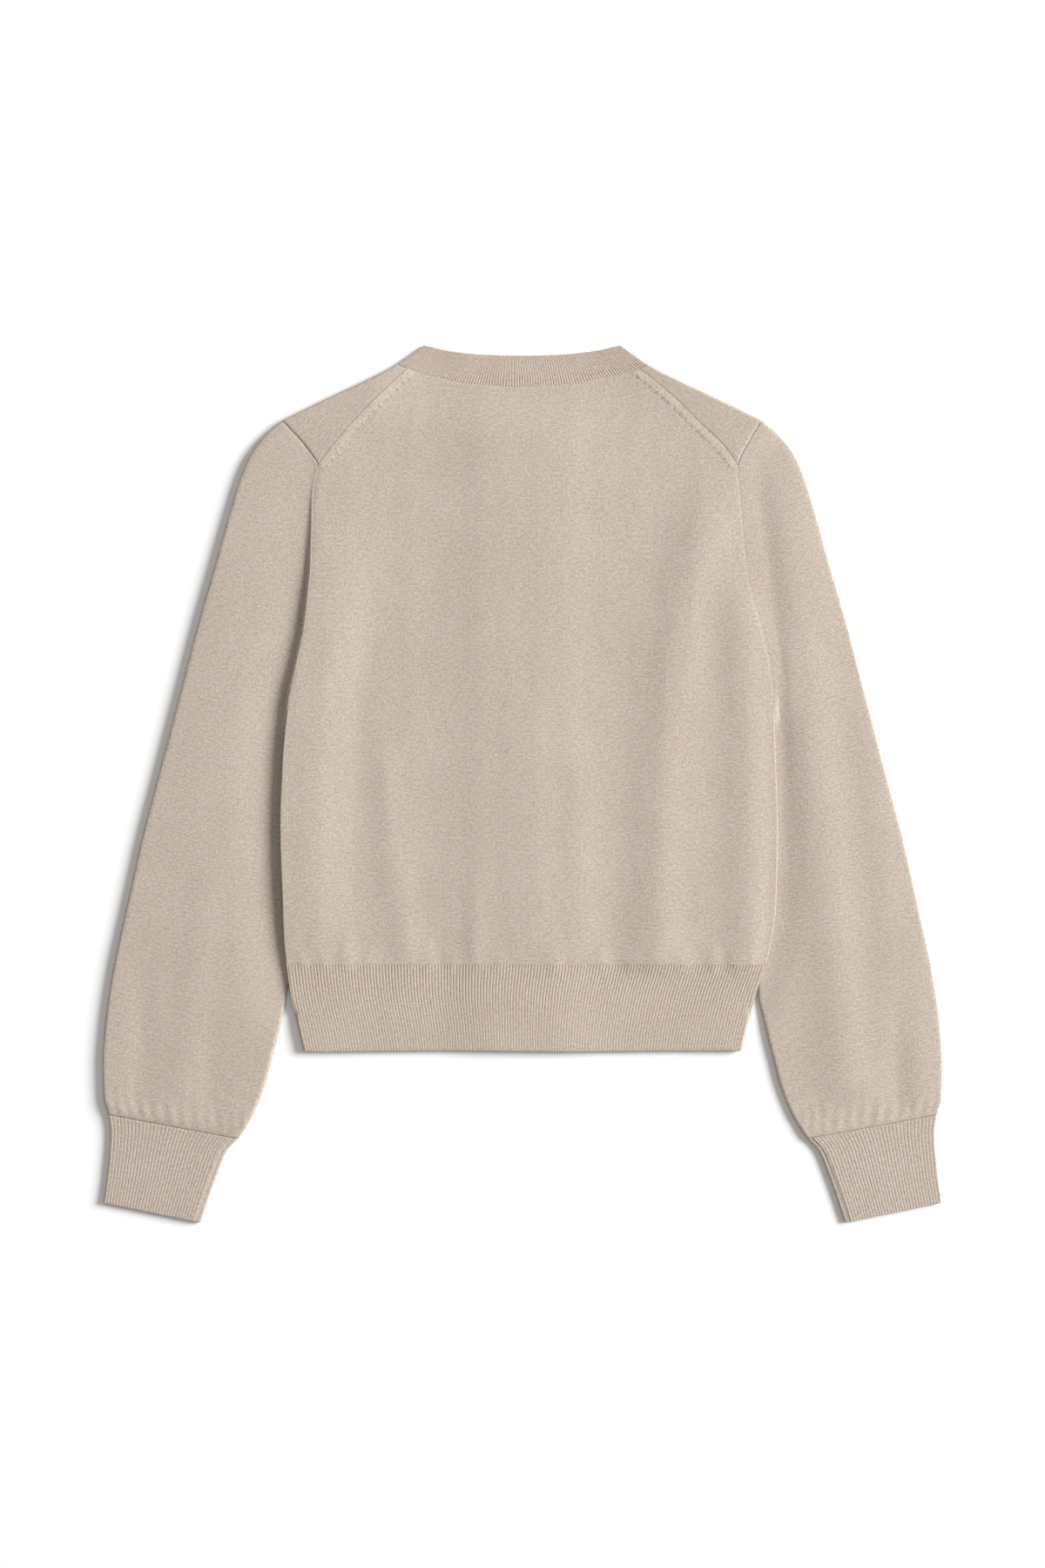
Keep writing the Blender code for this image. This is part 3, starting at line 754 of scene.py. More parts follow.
def body_side(side, low, high):
    ys = np.linspace(low, high, int(abs(high - low) * 2) + 2)
    return pair(side * edge_of_body(side, ys), ys)


def back_neck(edge):
    """The back neck from one yoke seam to the other: the neckband's SEWN or FREE edge."""
    shares = np.linspace(0, 1, 400)
    ends = (YOKE_SEAM[-1][1], YOKE_SEAM[-1][3])
    start, end = np.interp(ends, column(BACK_NECK, SEWN, shares), shares)
    return line_of(BACK_NECK, edge, np.linspace(start, end, 200))


def front_neck(side, edge):
    """A quarter ellipse up the front neck, from the band to the fold: SEWN or FREE edge."""
    width, top = abs(BACK_NECK[0][edge]), BACK_NECK[0][edge + 1]
    angles = np.linspace(0, math.acos(BAND_EDGE / width), 160)[::-1]
    return pair(side * width * np.cos(angles), top - (top - FRONT_NECK_Y[edge]) * np.sin(angles))


def front_armhole(side):
    """The front's armhole on the lower layer, from the underarm up to the shoulder fold."""
    low, high = edge_of_body(side, UNDERARM_Y), edge_of_body(side, SHOULDER_Y)
    share = np.linspace(0, 1, 160)
    bow = FRONT_ARMHOLE_BOW * np.sin(math.pi * share ** 0.9)
    return pair(side * (mix(low, high, share) - bow), mix(UNDERARM_Y, SHOULDER_Y, share))


def fold_inward(side, share):
    """The level direction from the shoulder fold into the garment."""
    way = pair(-side * mix(*FOLD_WAY, np.asarray(share, float)), -1.0)
    return way / np.linalg.norm(way, axis=-1, keepdims=True)


def fold_line(side, shares):
    """The shoulder fold's middle line, half a wall inside the outline."""
    line = line_of(SHOULDER_FOLD, 1, shares) * (side, 1)
    return line + fold_inward(side, shares) * WALL / 2


def fold_arcs(points, inward, top, count=9):
    """Rows of places round a fold, from the lower layer up to the upper layer."""
    radius = (top - FLOOR_MID) / 2
    rows = []
    for turn in np.linspace(-math.pi / 2, math.pi / 2, count):
        plan = points + inward * (FOLD_FLAT * radius * (1 - math.cos(turn)))[:, None]
        rows.append(np.column_stack([plan, FLOOR_MID + radius * (1 + math.sin(turn))]))
    return np.array(rows)


def make_back(shade):
    """The back panel, from the hem's rib up to the neckband and the two yoke seams."""
    edges = []
    for side in (-1, 1):
        shares = spaced(SIDE_LENGTH, SIDE_STEP, end=ONE_EDGE)
        lower = along(body_side(side, HEM_TOP_Y, UNDERARM_Y), shares)
        armhole = along(body_side(side, UNDERARM_Y, YOKE_Y), np.linspace(0, 1, ARMHOLE_ROWS))
        seam = along(yoke_seam(side), spaced(YOKE_LENGTH, YOKE_STEP, start=ONE_EDGE))
        edges.append(np.concatenate([lower, armhole[1:], seam[1:]]))
    left, right = edges
    u = gap_shares(spaced(BACK_WIDTH, BACK_STEP, ROLL, ROLL), BACK_WIDTH, SEAM_GAP)
    whole = mean_shares(left, right)
    v = gap_shares(whole, BACK_LENGTH, SEAM_GAP)
    bottom = mix(left[0], right[0], u[:, None])
    sides = (read(whole, edge, v) for edge in edges)
    corners = (left[0], right[0], left[-1], right[-1])
    plan = coons(bottom, along(back_neck(SEWN), u), *sides, u, v, corners)
    places = with_height(plan, upper_mid)
    x, y = plan[..., 0], plan[..., 1]
    off_seam, up_seam = np.full_like(x, FAR), np.zeros_like(x)
    for side in (-1, 1):
        armhole = body_side(side, MARK_LINE_Y, YOKE_Y)
        near, run = nearest(plan, np.concatenate([armhole[:-1], yoke_seam(side)]))
        half = (x * side > MARK_HALF_X) & (y > MARK_LINE_Y - 20)
        off_seam = np.where(half, near, off_seam)
        up_seam = np.where(half, run - run_of(armhole)[-1], up_seam)
    places[..., 2] += STRIP_RAISE * (1 - ramp(off_seam, *STRIP_EDGE)) * ramp(up_seam, *STRIP_START)
    lean = rim_lean(x.shape, FLUSH, NECK_FLUSH, np.where(y < UNDERARM_Y, 1.0, SEAM_FLUSH))
    knit = ((x, y), (off_seam, up_seam), np.where(y > STRIP_Y, off_seam, FAR))
    marks = (mix(MARK_FAR, np.clip(off_seam - STRIP, -MARK_FAR, MARK_FAR), up_seam > 0), up_seam)
    return shell("back_panel", places, knit, shade, 1, lean=lean, marks=marks)


def make_front(side, shade):
    """One front: its panel on the lower layer, wrapped over the shoulder onto the back."""
    u = gap_shares(spaced(FRONT_WIDTH, FRONT_STEP), FRONT_WIDTH, SEAM_GAP)
    fold = fold_line(side, np.array([0.0, 1.0]))
    armhole, sewn = front_armhole(side), front_neck(side, SEWN)
    outer = [body_side(side, HEM_TOP_Y, UNDERARM_Y)[:-1], armhole[:-1], fold[:1]]
    straight = pair(side * BAND_EDGE, np.linspace(HEM_TOP_Y, sewn[0][1], 60))
    inner = [straight[:-1], sewn[:-1], fold[1:]]
    rows = spaced(FRONT_LENGTH, FRONT_ROW_STEP, end=ONE_EDGE)
    left, right = (along(np.concatenate(edge), rows) for edge in (outer, inner))
    ridge = fold_line(side, u)
    bottom = mix(left[0], right[0], u[:, None])
    plan = coons(bottom, ridge, left, right, u, mean_shares(left, right))
    arcs = fold_arcs(ridge, fold_inward(side, u), upper_mid(ridge[:, 0], ridge[:, 1]))
    seam, start = along(yoke_seam(side), u), arcs[-1][:, :2]
    armhole = body_side(side, YOKE_Y, float(start[0][1]))[::-1]
    last = spaced(WRAP_LENGTH, WRAP_STEP, start=ONE_EDGE) * (1 - SEAM_GAP / 2 / WRAP_LENGTH)
    at_armhole = along(np.concatenate([start[:1], armhole[1:]]), last)
    yoke = coons(start, seam, at_armhole, mix(start[-1], seam[-1], last[:, None]), u, last)
    lower = with_height(plan[:-1], lower_mid)
    places = np.concatenate([lower, arcs, with_height(yoke[1:], upper_mid)])
    knit = places[..., :2].copy()
    turned = len(lower) + len(arcs) // 2
    offset = knit[turned:] - fold[0]
    way = (fold[1] - fold[0]) / np.linalg.norm(fold[1] - fold[0])
    knit[turned:] = fold[0] + 2 * (offset @ way)[..., None] * way - offset
    sides = np.where(places[..., 1] < UNDERARM_Y, 1.0, SEAM_FLUSH)
    lean = rim_lean(sides.shape, FLUSH, SEAM_FLUSH, sides)
    name = "front_panel_" + side_name(side)
    return shell(name, places, (knit[..., 0], knit[..., 1]), shade, -side, lean=lean)


def rib_positions(width, pitch):
    """Shares across a ribbed piece, with the same number of samples on every rib."""
    ribs = round(width / pitch)
    inner = np.arange(1, ribs * RIB_SAMPLES) / (ribs * RIB_SAMPLES)
    close = np.array(RIM[:-1]) / width
    inner = inner[(inner > RIM[-1] / width) & (inner < 1 - RIM[-1] / width)]
    return np.concatenate([close, inner, 1 - close[::-1]]), ribs


def ribbed(name, places, phase, pitch, down, shade, outward, lean, depth, closed=False):
    """A ribbed piece. The inner side's grooves lie behind the outer side's ridges."""
    phase = np.broadcast_to(phase, places.shape[:2])
    return shell(name, places, (phase * pitch, down), shade, outward, closed, lean,
                 RIB_DEPTH * depth * rib_profile(phase), RIB_INSIDE * rib_profile(phase + 0.5))


def make_hem(name, side, field, shade, step):
    """A deep rib at the bottom: of the whole back, or of one front. Its ribs fan with its edges."""
    height = HEM_TOP_Y - HEM_BOTTOM_Y - SEAM_GAP / 2
    levels = HEM_TOP_Y - SEAM_GAP / 2 - spaced(height, step)[:, None] * height
    if side is None:
        width, first, last = BACK_WIDTH, -edge_of_body(-1, levels), edge_of_body(1, levels)
    else:
        width, first, last = FRONT_HEM_WIDTH, side * edge_of_body(side, levels), side * BAND_EDGE
    u, ribs = rib_positions(width, RIB)
    spread = u + FAN * np.sin(2 * math.pi * u) * ramp(HEM_TOP_Y - levels, *FAN_FALL)
    x = mix(first, last, spread)
    y = levels - WAVE * np.sin(x / WAVE_LENGTH) * ramp(HEM_TOP_Y - levels, *WAVE_FALL)
    return ribbed(name, np.dstack([x, y, field(x, y)]), u * ribs, RIB, y, shade,
                  -1 if side is None else side, rim_lean(x.shape, FLUSH, 0.0, 1.0),
                  mix(*HEM_DEPTH, ramp(HEM_TOP_Y - y, *HEM_DEPTH_FALL)))


def make_neckband(shade):
    """The ribbed neckband: up one front, round its fold, across the back and down the other."""
    widths = spaced(NECK_WIDTH, NECK_STEP)
    halves = []
    for side in (-1, 1):
        share = np.linspace(0, 1, 120)
        sewn, free = (along(front_neck(side, edge), share) for edge in (SEWN, FREE))
        inward = fold_inward(side, np.ones(len(widths)))
        ends = mix(sewn[-1], free[-1], widths[:, None]) + inward * WALL / 2
        arcs = fold_arcs(ends, inward, upper_mid(ends[:, 0], ends[:, 1]), 7)
        plan = mix(sewn[:-1, None], free[:-1, None], widths[None, :, None])
        halves.append(np.concatenate([with_height(plan, lower_mid), arcs]))
    across = mix(back_neck(SEWN)[:, None], back_neck(FREE)[:, None], widths[None, :, None])
    lines = np.concatenate([halves[0], with_height(across, upper_mid), halves[1][::-1]])
    run = run_of(lines[:, len(widths) // 2])
    u, ribs = rib_positions(run[-1], NECK_RIB)
    places = np.array([read(run, line, u * run[-1]) for line in lines.transpose(1, 0, 2)])
    places[0] = mix(places[0], places[1], 0.5)
    depth = mix(*NECK_DEPTH, ramp(widths, *NECK_DEPTH_FALL))[:, None]
    lean = rim_lean(places.shape[:2], NECK_FLUSH, 0.0)
    return ribbed("neck_rib", places, u * ribs, NECK_RIB, widths[:, None] * NECK_WIDTH, shade, 1,
                  lean, depth)


def sleeve_section(side, at):
    """Outer place, inner place and fade of the armhole's curve, at station numbers."""
    rows = [(y, edge_of_body(side, inner_y) + out, inner_y) for y, out, inner_y in SLEEVE_STATIONS]
    rows += list(SLEEVE_FREE_STATIONS)
    outer_y, inner_x, inner_y = (curve(range(len(rows)), part, at) for part in zip(*rows))
    shift = ARMHOLE_GAP * (1 - ramp(at, 0, 1))
    outer_x = column(SLEEVE_OUTER, 1, outer_y) - WALL / 2
    outer = pair(side * (outer_x + shift), outer_y + shift)
    inner = pair(side * (inner_x + shift), inner_y)
    return outer, inner, 1 - ramp(at, 0, BOW_STATIONS)


def tube(outer, inner, bows, shares, top_of, low_of, start_way=0.0, fade=0.0):
    """Flattened tube: outer fold, upper layer, inner fold and lower layer, one ring a row."""
    gap = inner - outer
    width = np.linalg.norm(gap, axis=1)
    across = gap / width[:, None]
    edge_top = top_of(outer[:, None])[:, 0]
    way = mix(across, start_way, np.broadcast_to(fade, len(outer))[:, None])
    way = way / np.linalg.norm(way, axis=1)[:, None]
    ring = list(fold_arcs(outer, way, edge_top))
    radius = FOLD_FLAT * (edge_top - FLOOR_MID) / 2
    for bow, share, upward in zip(bows, shares, (1, -1)):
        run = mix(radius[:, None], width[:, None], share[None])
        plan = outer[:, None] + across[:, None] * run[..., None] + bow
        top, low = top_of(plan), low_of(plan)
        t = np.clip((width[:, None] - run) / EDGE_ROUND, 0.0, 1.0)
        z = (top + low) / 2 + upward * (top - low) / 2 * np.sqrt(1 - (1 - t) ** 2)
        line = np.dstack([plan, z]).transpose(1, 0, 2)
        ring += list(line if upward > 0 else line[:-1][::-1])
    return np.array(ring).transpose(1, 0, 2)


def ring_shares(count):
    """Shares from the outer fold to the inner one, close together where the inner fold rounds."""
    flat = np.linspace(0, 1 - INNER_ROUND_SHARE, count + 1)[1:]
    turn = np.linspace(0, math.pi / 2, 9)[1:]
    return np.concatenate([flat, flat[-1] + INNER_ROUND_SHARE * np.sin(turn)])


def sleeve_wales(x, y):
    """Knitting coordinates of a sleeve: in from its middle wale, and down along it."""
    levels = np.linspace(SLEEVE_WALE[0][0], SLEEVE_WALE[-1][0], 400)
    line = column(SLEEVE_WALE, 1, levels)
    tilt = np.interp(-y, -levels, np.arctan(np.gradient(line, -levels)))
    gap = np.interp(-y, -levels, line) - x
    down = np.interp(-y, -levels, run_of(pair(line, levels)))
    return gap * np.cos(tilt), down - gap * np.sin(tilt)


def make_sleeve(side, shade):
    """A sleeve: a flattened tube from the armhole to the cuff, gathered onto the cuff."""
    numbers = np.linspace(0, len(SLEEVE_STATIONS) + len(SLEEVE_FREE_STATIONS) - 1, 600)
    outer, inner, _ = sleeve_section(side, numbers)
    run = run_of((outer + inner) / 2)
    down = spaced(run[-1], SLEEVE_STEP, ROLL) * run[-1]
    at = np.interp(down, run, numbers)
    outer, inner, fade = sleeve_section(side, at)
    shares = [ring_shares(count) for count in SLEEVE_RING]
    start_way = fold_inward(side, 0.0)
    turn = FOLD_FLAT * (EDGE_MID - FLOOR_MID) / 2
    fold_end = outer[:1] + start_way * turn
    width = np.linalg.norm(inner[0] - outer[0])
    lines = (body_side(side, fold_end[0][1], UNDERARM_Y), front_armhole(side)[::-1][2:])
    bows = []
    for line, share, underarm in zip(lines, shares, BOW_UNDERARM):
        loop = along(np.concatenate([fold_end, line[1:]]), share)
        loop = loop + (side * ARMHOLE_GAP, ARMHOLE_GAP)
        chord = outer[0] + (inner[0] - outer[0]) * (mix(turn, width, share) / width)[:, None]
        last = mix(BOW_STATIONS, underarm, ramp(share, 0.7, 1.0))
        bows.append((loop - chord)[None] * (1 - ramp(at[:, None], 0, last[None]))[..., None])

    def top_of(plan):
        level = sleeve_top_mid(plan[..., 0], plan[..., 1])
        across = np.linalg.norm(plan - outer[:, None], axis=2)
        sway = CUFF_GATHER_SWAY[0] * np.sin(across / CUFF_GATHER_SWAY[1])
        ripple = np.sin(across / CUFF_GATHER_PITCH * 2 * math.pi + sway + side)
        to_end = (run[-1] - down)[:, None]
        level = level + CUFF_GATHER * ripple * (1 - ramp(to_end, 0, CUFF_GATHER_REACH))
        return mix(level, CUFF_MID + CUFF_START_RISE, 1 - ramp(to_end, 0, CUFF_LEVEL_REACH))

    def low_of(plan):
        at_seam = 1 - ramp(down, *ARMHOLE_CLIMB)[:, None]
        return mix(FLOOR_MID, side_mid(plan[..., 0], plan[..., 1]), at_seam)

    places = tube(outer, inner, bows, shares, top_of, low_of, start_way, fade)
    knit = sleeve_wales(np.abs(places[..., 0]), places[..., 1])
    lean = rim_lean(places.shape[:2], SEAM_FLUSH, FLUSH)
    return shell("sleeve_knit_" + side_name(side), places, knit, shade, -side, True, lean)


def make_cuff(side, shade):
    """A ribbed cuff: a flattened tube whose seam lies a little way in from its inner edge."""
    at = spaced(CUFF_LENGTH, CUFF_STEP) * (len(CUFF_STATIONS) - 1)
    parts = zip(*CUFF_STATIONS)
    outer_y, inner_x, inner_y = (curve(range(len(CUFF_STATIONS)), part, at) for part in parts)
    outer = pair(side * (column(SLEEVE_OUTER, 1, outer_y) - WALL / 2), outer_y)
    inner = pair(side * inner_x, inner_y)
    share = np.arange(1, CUFF_RIBS * RIB_SAMPLES + 1) / (CUFF_RIBS * RIB_SAMPLES)

    def top_of(plan):
        to_edge = np.linalg.norm(plan - inner[:, None], axis=2)
        start = (1 - ramp(at, 0, CUFF_START))[:, None]
        return CUFF_MID + CUFF_START_RISE * start - CUFF_SEAM_STEP * (1 - ramp(to_edge, *CUFF_SEAM))

    def low_of(plan):
        return FLOOR_MID

    places = tube(outer, inner, (0.0, 0.0), (share, share), top_of, low_of)
    gap, middle = inner - outer, (outer + inner) / 2
    width = np.linalg.norm(gap, axis=1)[:, None]
    out = ((places[..., :2] - middle[:, None]) * (gap / width)[:, None]).sum(axis=2)
    down = run_of(middle)[:, None]
    return ribbed("cuff_rib_" + side_name(side), places, (out / width + 0.5) * CUFF_RIBS, RIB,
                  down, shade, -side, rim_lean(out.shape, FLUSH, 0.0),
                  mix(*CUFF_DEPTH, ramp(down, *CUFF_DEPTH_FALL)), True)


def make_band(name, mid, shade):
    """A ribbed front band, with its ribs along it."""
    u, ribs = rib_positions(2 * BAND_HALF, RIB)
    length = BAND_TOP_Y - HEM_BOTTOM_Y
    y = HEM_BOTTOM_Y + spaced(length, BAND_STEP)[:, None] * length
    x, y = np.broadcast_arrays(mix(-BAND_HALF, BAND_HALF, u), y)
    places = np.dstack([x, y, np.full(x.shape, mid)])
    return ribbed(name, places, u * ribs, RIB, y, shade, -1, 0.0, BAND_DEPTH)


def cord(name, line, radius, pitch, shade):
    """A chain of linked stitches along a line: a thin cord that swells at each stitch."""
    count, sides = int(run_of(line)[-1] / pitch) * 3, 8
    path = along(line, np.linspace(0, 1, count + 1))
    tangent = np.gradient(path, axis=0)
    tangent /= np.linalg.norm(tangent, axis=1, keepdims=True)
    side = np.cross(tangent, (0.0, 0.0, 1.0))
    side /= np.linalg.norm(side, axis=1, keepdims=True)
    up = np.cross(side, tangent)
    swell = radius * (0.82 + 0.18 * np.cos(np.arange(count + 1) * 2 * math.pi / 3))
    swell[[0, -1]] = radius * 0.2
    turns = np.linspace(0, 2 * math.pi, sides, endpoint=False)
    rings = [path + (side * math.cos(t) + up * math.sin(t)) * swell[:, None] for t in turns]
    points = np.stack(rings, axis=1).reshape(-1, 3) * MM
    index = np.arange(len(points)).reshape(count + 1, sides)
    ends = [index[0].tolist(), index[-1][::-1].tolist()]
    faces = np.roll(quads_of(index, True, -1), 1, axis=1).tolist() + ends
    mesh = smooth_mesh(name, points, faces, shade)
    add_uv(mesh, "knit", points[[corner for face in faces for corner in face], :2])
    place_on_body(new_object(name, mesh))


class Graph:
    """A new material's nodes by short names, so that its recipe reads as a sum."""

    def __init__(self, name):
        self.material = bpy.data.materials.new(name)
        self.material.use_nodes = True
        self.nodes, self.links = self.material.node_tree.nodes, self.material.node_tree.links

    def new(self, kind):
        return self.nodes.new("ShaderNode" + kind)

    def fill(self, node, inputs):
        """Set a node's inputs, named or numbered, to values or to other nodes' outputs."""
        for key, value in inputs.items():
            if isinstance(value, (int, float, tuple)):
                node.inputs[key].default_value = value
            else:
                self.links.new(value, node.inputs[key])
        return node.outputs

    def math(self, operation, *values):
        node = self.new("Math")
        node.operation = operation
        return self.fill(node, dict(enumerate(values)))[0]

    def plus(self, a, b):
        return self.math("ADD", a, b)

    def minus(self, a, b):
        return self.math("SUBTRACT", a, b)

    def times(self, a, b):
        return self.math("MULTIPLY", a, b)

    def scaled(self, a, b, c):
        return self.math("MULTIPLY_ADD", a, b, c)

    def below(self, a, b):
        return self.math("LESS_THAN", a, b)

    def join(self, x, y, z=0.0):
        return self.fill(self.new("CombineXYZ"), {0: x, 1: y, 2: z})[0]

    def noise(self, vector, scale, detail=2.0, roughness=0.5):
        inputs = {"Vector": vector, "Scale": scale, "Detail": detail, "Roughness": roughness}
        return self.fill(self.new("TexNoise"), inputs)["Fac"]

    def uv(self, layer):
        node = self.new("UVMap")
        node.uv_map = layer
        return self.fill(self.new("SeparateXYZ"), {0: node.outputs[0]})[:2]

    def blend(self, share, a, b):
        node = self.new("Mix")
        node.data_type = "RGBA"
        return self.fill(node, {"Factor": share, "A": (*a, 1.0), "B": (*b, 1.0)})["Result"]

    def span(self, value, low, high, to_low, to_high):
        inputs = (value, low, high, to_low, to_high)
        return self.fill(self.new("MapRange"), dict(enumerate(inputs)))[0]

    def bump(self, height, depth):
        return self.fill(self.new("Bump"), {"Distance": depth * MM, "Height": height})[0]

    def finish(self, inputs):
        self.fill(self.nodes["Principled BSDF"], inputs)
        return self.material


def stitches(g, u, v, wale, beat):
    """Height of plain knitting, 0 to 1: two slanted legs a stitch, in wales."""
    wander = g.minus(g.noise(g.join(u, v), WANDER_SCALE, 1.0), 0.5)
    across = g.plus(u, g.times(wander, WANDER * MM))
    part = g.math("FRACT", g.times(across, 1 / (wale * MM)))
    out = g.math("ABSOLUTE", g.minus(part, 0.5))
    off_leg = g.math("ABSOLUTE", g.scaled(out, 4.0, -1.0))
    leg = g.minus(1.0, g.math("POWER", off_leg, 2.0))
    turn = g.plus(g.times(v, 1 / (COURSE * MM)), g.times(out, LEG_SLANT))
    loop = g.math("SINE", g.times(turn, 2 * math.pi))
    return g.times(leg, g.scaled(loop, beat, 1 - beat))


def heather(g, u, v, fleck):
    """Share of the light yarn: fine flecks, short streaks along the courses and faint clouds."""
    tone = 0.0
    for stretch, seed, scale, detail, roughness, low, high, weight in HEATHER:
        noise = g.noise(g.join(g.times(u, stretch), v, seed), scale, detail, roughness)
        tone = g.plus(tone, g.times(g.span(noise, low, high, -0.5, 0.5), weight))
    cloud = g.minus(g.noise(g.join(u, v, 0.9), CLOUD_SCALE), 0.5)
    return g.scaled(cloud, CLOUD, g.scaled(tone, fleck, 0.5))


def seam_marks(g):
    """Narrowing marks beside a strip of wales, and the strip itself: painted shade in each mark's
    hole, painted highlight on its stitch, and the paler strip.
    """
    near, run = g.uv("marks")
    sway = g.noise(g.join(near, run), MARK_SWAY_SCALE, 1.0)
    beat = g.math("FRACT", g.scaled(run, 1 / (MARK_PITCH * MM), g.times(sway, MARK_SWAY)))
    dash = g.below(g.math("ABSOLUTE", near), MARK_HALF * MM)
    # Each mark is painted shade at first and a painted highlight after it
    hole_shade, shade_and_highlight = (g.times(dash, g.below(beat, end)) for end in MARK_ENDS)
    return hole_shade, g.minus(shade_and_highlight, hole_shade), g.below(near, STRIP_PALE_EDGE * MM)


def knit_material(name, yarns, wale, depth, fleck, beat=0.12, groove_shade=0.86, marked=False):
    """Heathered knitting: stitches in wales, flecks of two yarns, warm and cool hues, soft nap,
    with painted shade in the stitch grooves and painted shade and highlight at the marks.
    """
    g = Graph(name)
    u, v = g.uv("knit")
    stitch = stitches(g, u, v, wale, beat)
    fibre = g.noise(g.join(u, g.times(v, 1.4)), FIBRE_SCALE, 2.0, 0.6)
    height = g.plus(g.times(stitch, 0.8), g.times(fibre, 0.35))
    # Painted shade: the colour darkens in the grooves between the stitches and is a little lighter
    # on their tops.
    shade = g.span(stitch, 0.0, 0.8, groove_shade, 1.04)
    if marked:
        # The marks add painted shade and a painted highlight to the colour; the strip is paler.
        marks = seam_marks(g)
        for mark, lighter in zip(marks, (*MARK_SHADE_HIGHLIGHT, STRIP_LIGHTER)):
            shade = g.times(shade, g.scaled(mark, lighter, 1.0))
        height = g.scaled(marks[0], -0.7, height)
    colour = g.blend(heather(g, u, v, fleck), *yarns)
    hue = g.span(g.noise(g.join(u, v, 0.2), HUE_SCALE, 2.0, 0.6), 0.3, 0.7, 0.0, 1.0)
    tint = g.blend(hue, WARM, COOL)
    for operation, key, factor in (("MULTIPLY", 1, tint), ("SCALE", "Scale", shade)):
        node = g.new("VectorMath")
        node.operation = operation
        colour = g.fill(node, {0: colour, key: factor})[0]
    return g.finish({
        "Base Color": colour, "Roughness": g.span(fibre, 0.3, 0.7, 0.82, 0.97),
        "Normal": g.bump(height, depth), "Specular IOR Level": 0.2,
        "Sheen Weight": 0.18, "Sheen Roughness": 0.6, "Sheen Tint": (1.0, 0.95, 0.9, 1.0)})


def button_material():
    """Warm horn-like plastic, clouded and lightly polished."""
    g = Graph("button_horn")
    place = g.new("TexCoord").outputs["Object"]
    return g.finish({
        "Base Color": g.blend(g.noise(place, 220.0, 3.0, 0.6), *HORN),
        "Roughness": g.span(g.noise(place, 900.0), 0.3, 0.7, 0.26, 0.4),
        "Normal": g.bump(g.noise(place, 1400.0), 0.05)})


def floor_material():
    finish = {"Base Color": FLOOR_COLOUR, "Roughness": 0.9, "Specular IOR Level": 0.1}
    return Graph("pale_floor").finish(finish)


def lathe(profile, segments=48):
    """Points and faces of a turned shape; its first and last profile places are on the axis."""
    turns = np.linspace(0, 2 * math.pi, segments, endpoint=False)
    points, faces = [(0.0, 0.0, profile[0][1])], []
    for radius, height in profile[1:-1]:
        points += [(radius * math.cos(t), radius * math.sin(t), height) for t in turns]
    points.append((0.0, 0.0, profile[-1][1]))
    for k in range(segments):
        n = (k + 1) % segments
        faces.append((0, 1 + n, 1 + k))
        for ring in range(len(profile) - 3):
            low, high = 1 + ring * segments, 1 + (ring + 1) * segments
            faces.append((low + k, low + n, high + n, high + k))
        top = 1 + (len(profile) - 3) * segments
        faces.append((top + k, top + n, len(points) - 1))
    return points, faces


def make_button_mesh(shade):
    """A four-hole button with a raised rim and a dished face, face down."""
    dish = BUTTON_RADIUS - BUTTON_RIM
    profile = (
        (0.0, BUTTON_DISH), (dish - 0.9, BUTTON_DISH), (dish - 0.35, BUTTON_DISH * 0.7),
        (dish, 0.12), (dish + 0.25, 0.0), (BUTTON_RADIUS - 0.45, 0.0),
        (BUTTON_RADIUS - 0.12, 0.2), (BUTTON_RADIUS, 0.6), (BUTTON_RADIUS, BUTTON_THICK - 0.9),
        (BUTTON_RADIUS - 0.35, BUTTON_THICK - 0.3), (BUTTON_RADIUS - 1.2, BUTTON_THICK),
        (0.0, BUTTON_THICK),
    )
    points, faces = lathe(profile)
    mesh = bpy.data.meshes.new("button_body")
    mesh.from_pydata([tuple(c * MM for c in p) for p in points], [], faces)
    body = new_object("button_body", mesh)
    reach = BUTTON_HOLE_PLACE * MM
    for k in range(4):
        turn = math.pi / 4 + k * math.pi / 2
        place = (reach * math.cos(turn), reach * math.sin(turn), BUTTON_THICK / 2 * MM)
        bpy.ops.mesh.primitive_cylinder_add(
            vertices=16, radius=BUTTON_HOLE * MM, depth=4 * MM, location=place)
        cutter = bpy.context.object
        cut = body.modifiers.new("Hole", "BOOLEAN")
        cut.operation = "DIFFERENCE"
        cut.solver = "EXACT"
        cut.object = cutter
        seen = body.evaluated_get(bpy.context.evaluated_depsgraph_get())
        done = bpy.data.meshes.new_from_object(seen)
        body.modifiers.clear()
        body.data = done
        bpy.data.objects.remove(cutter, do_unlink=True)
    mesh = body.data
    mesh.name = "button_body"
    bpy.data.objects.remove(body, do_unlink=True)
    mesh.materials.clear()
    mesh.materials.append(shade)
    return mesh


def thread_bars(y):
    """The sewing thread in a button: two crossed bars between its holes."""
    shares = np.linspace(-1, 1, 13)
    end = np.clip(np.abs(shares) - THREAD_FLAT, 0, 1) / (1 - THREAD_FLAT)
    for turn in (math.pi / 4, 3 * math.pi / 4):
        out = shares * BUTTON_HOLE_PLACE
        yield np.column_stack([out * math.cos(turn), out * math.sin(turn) + y,
                               THREAD_RADIUS + THREAD_OFF + THREAD_CLIMB * end])


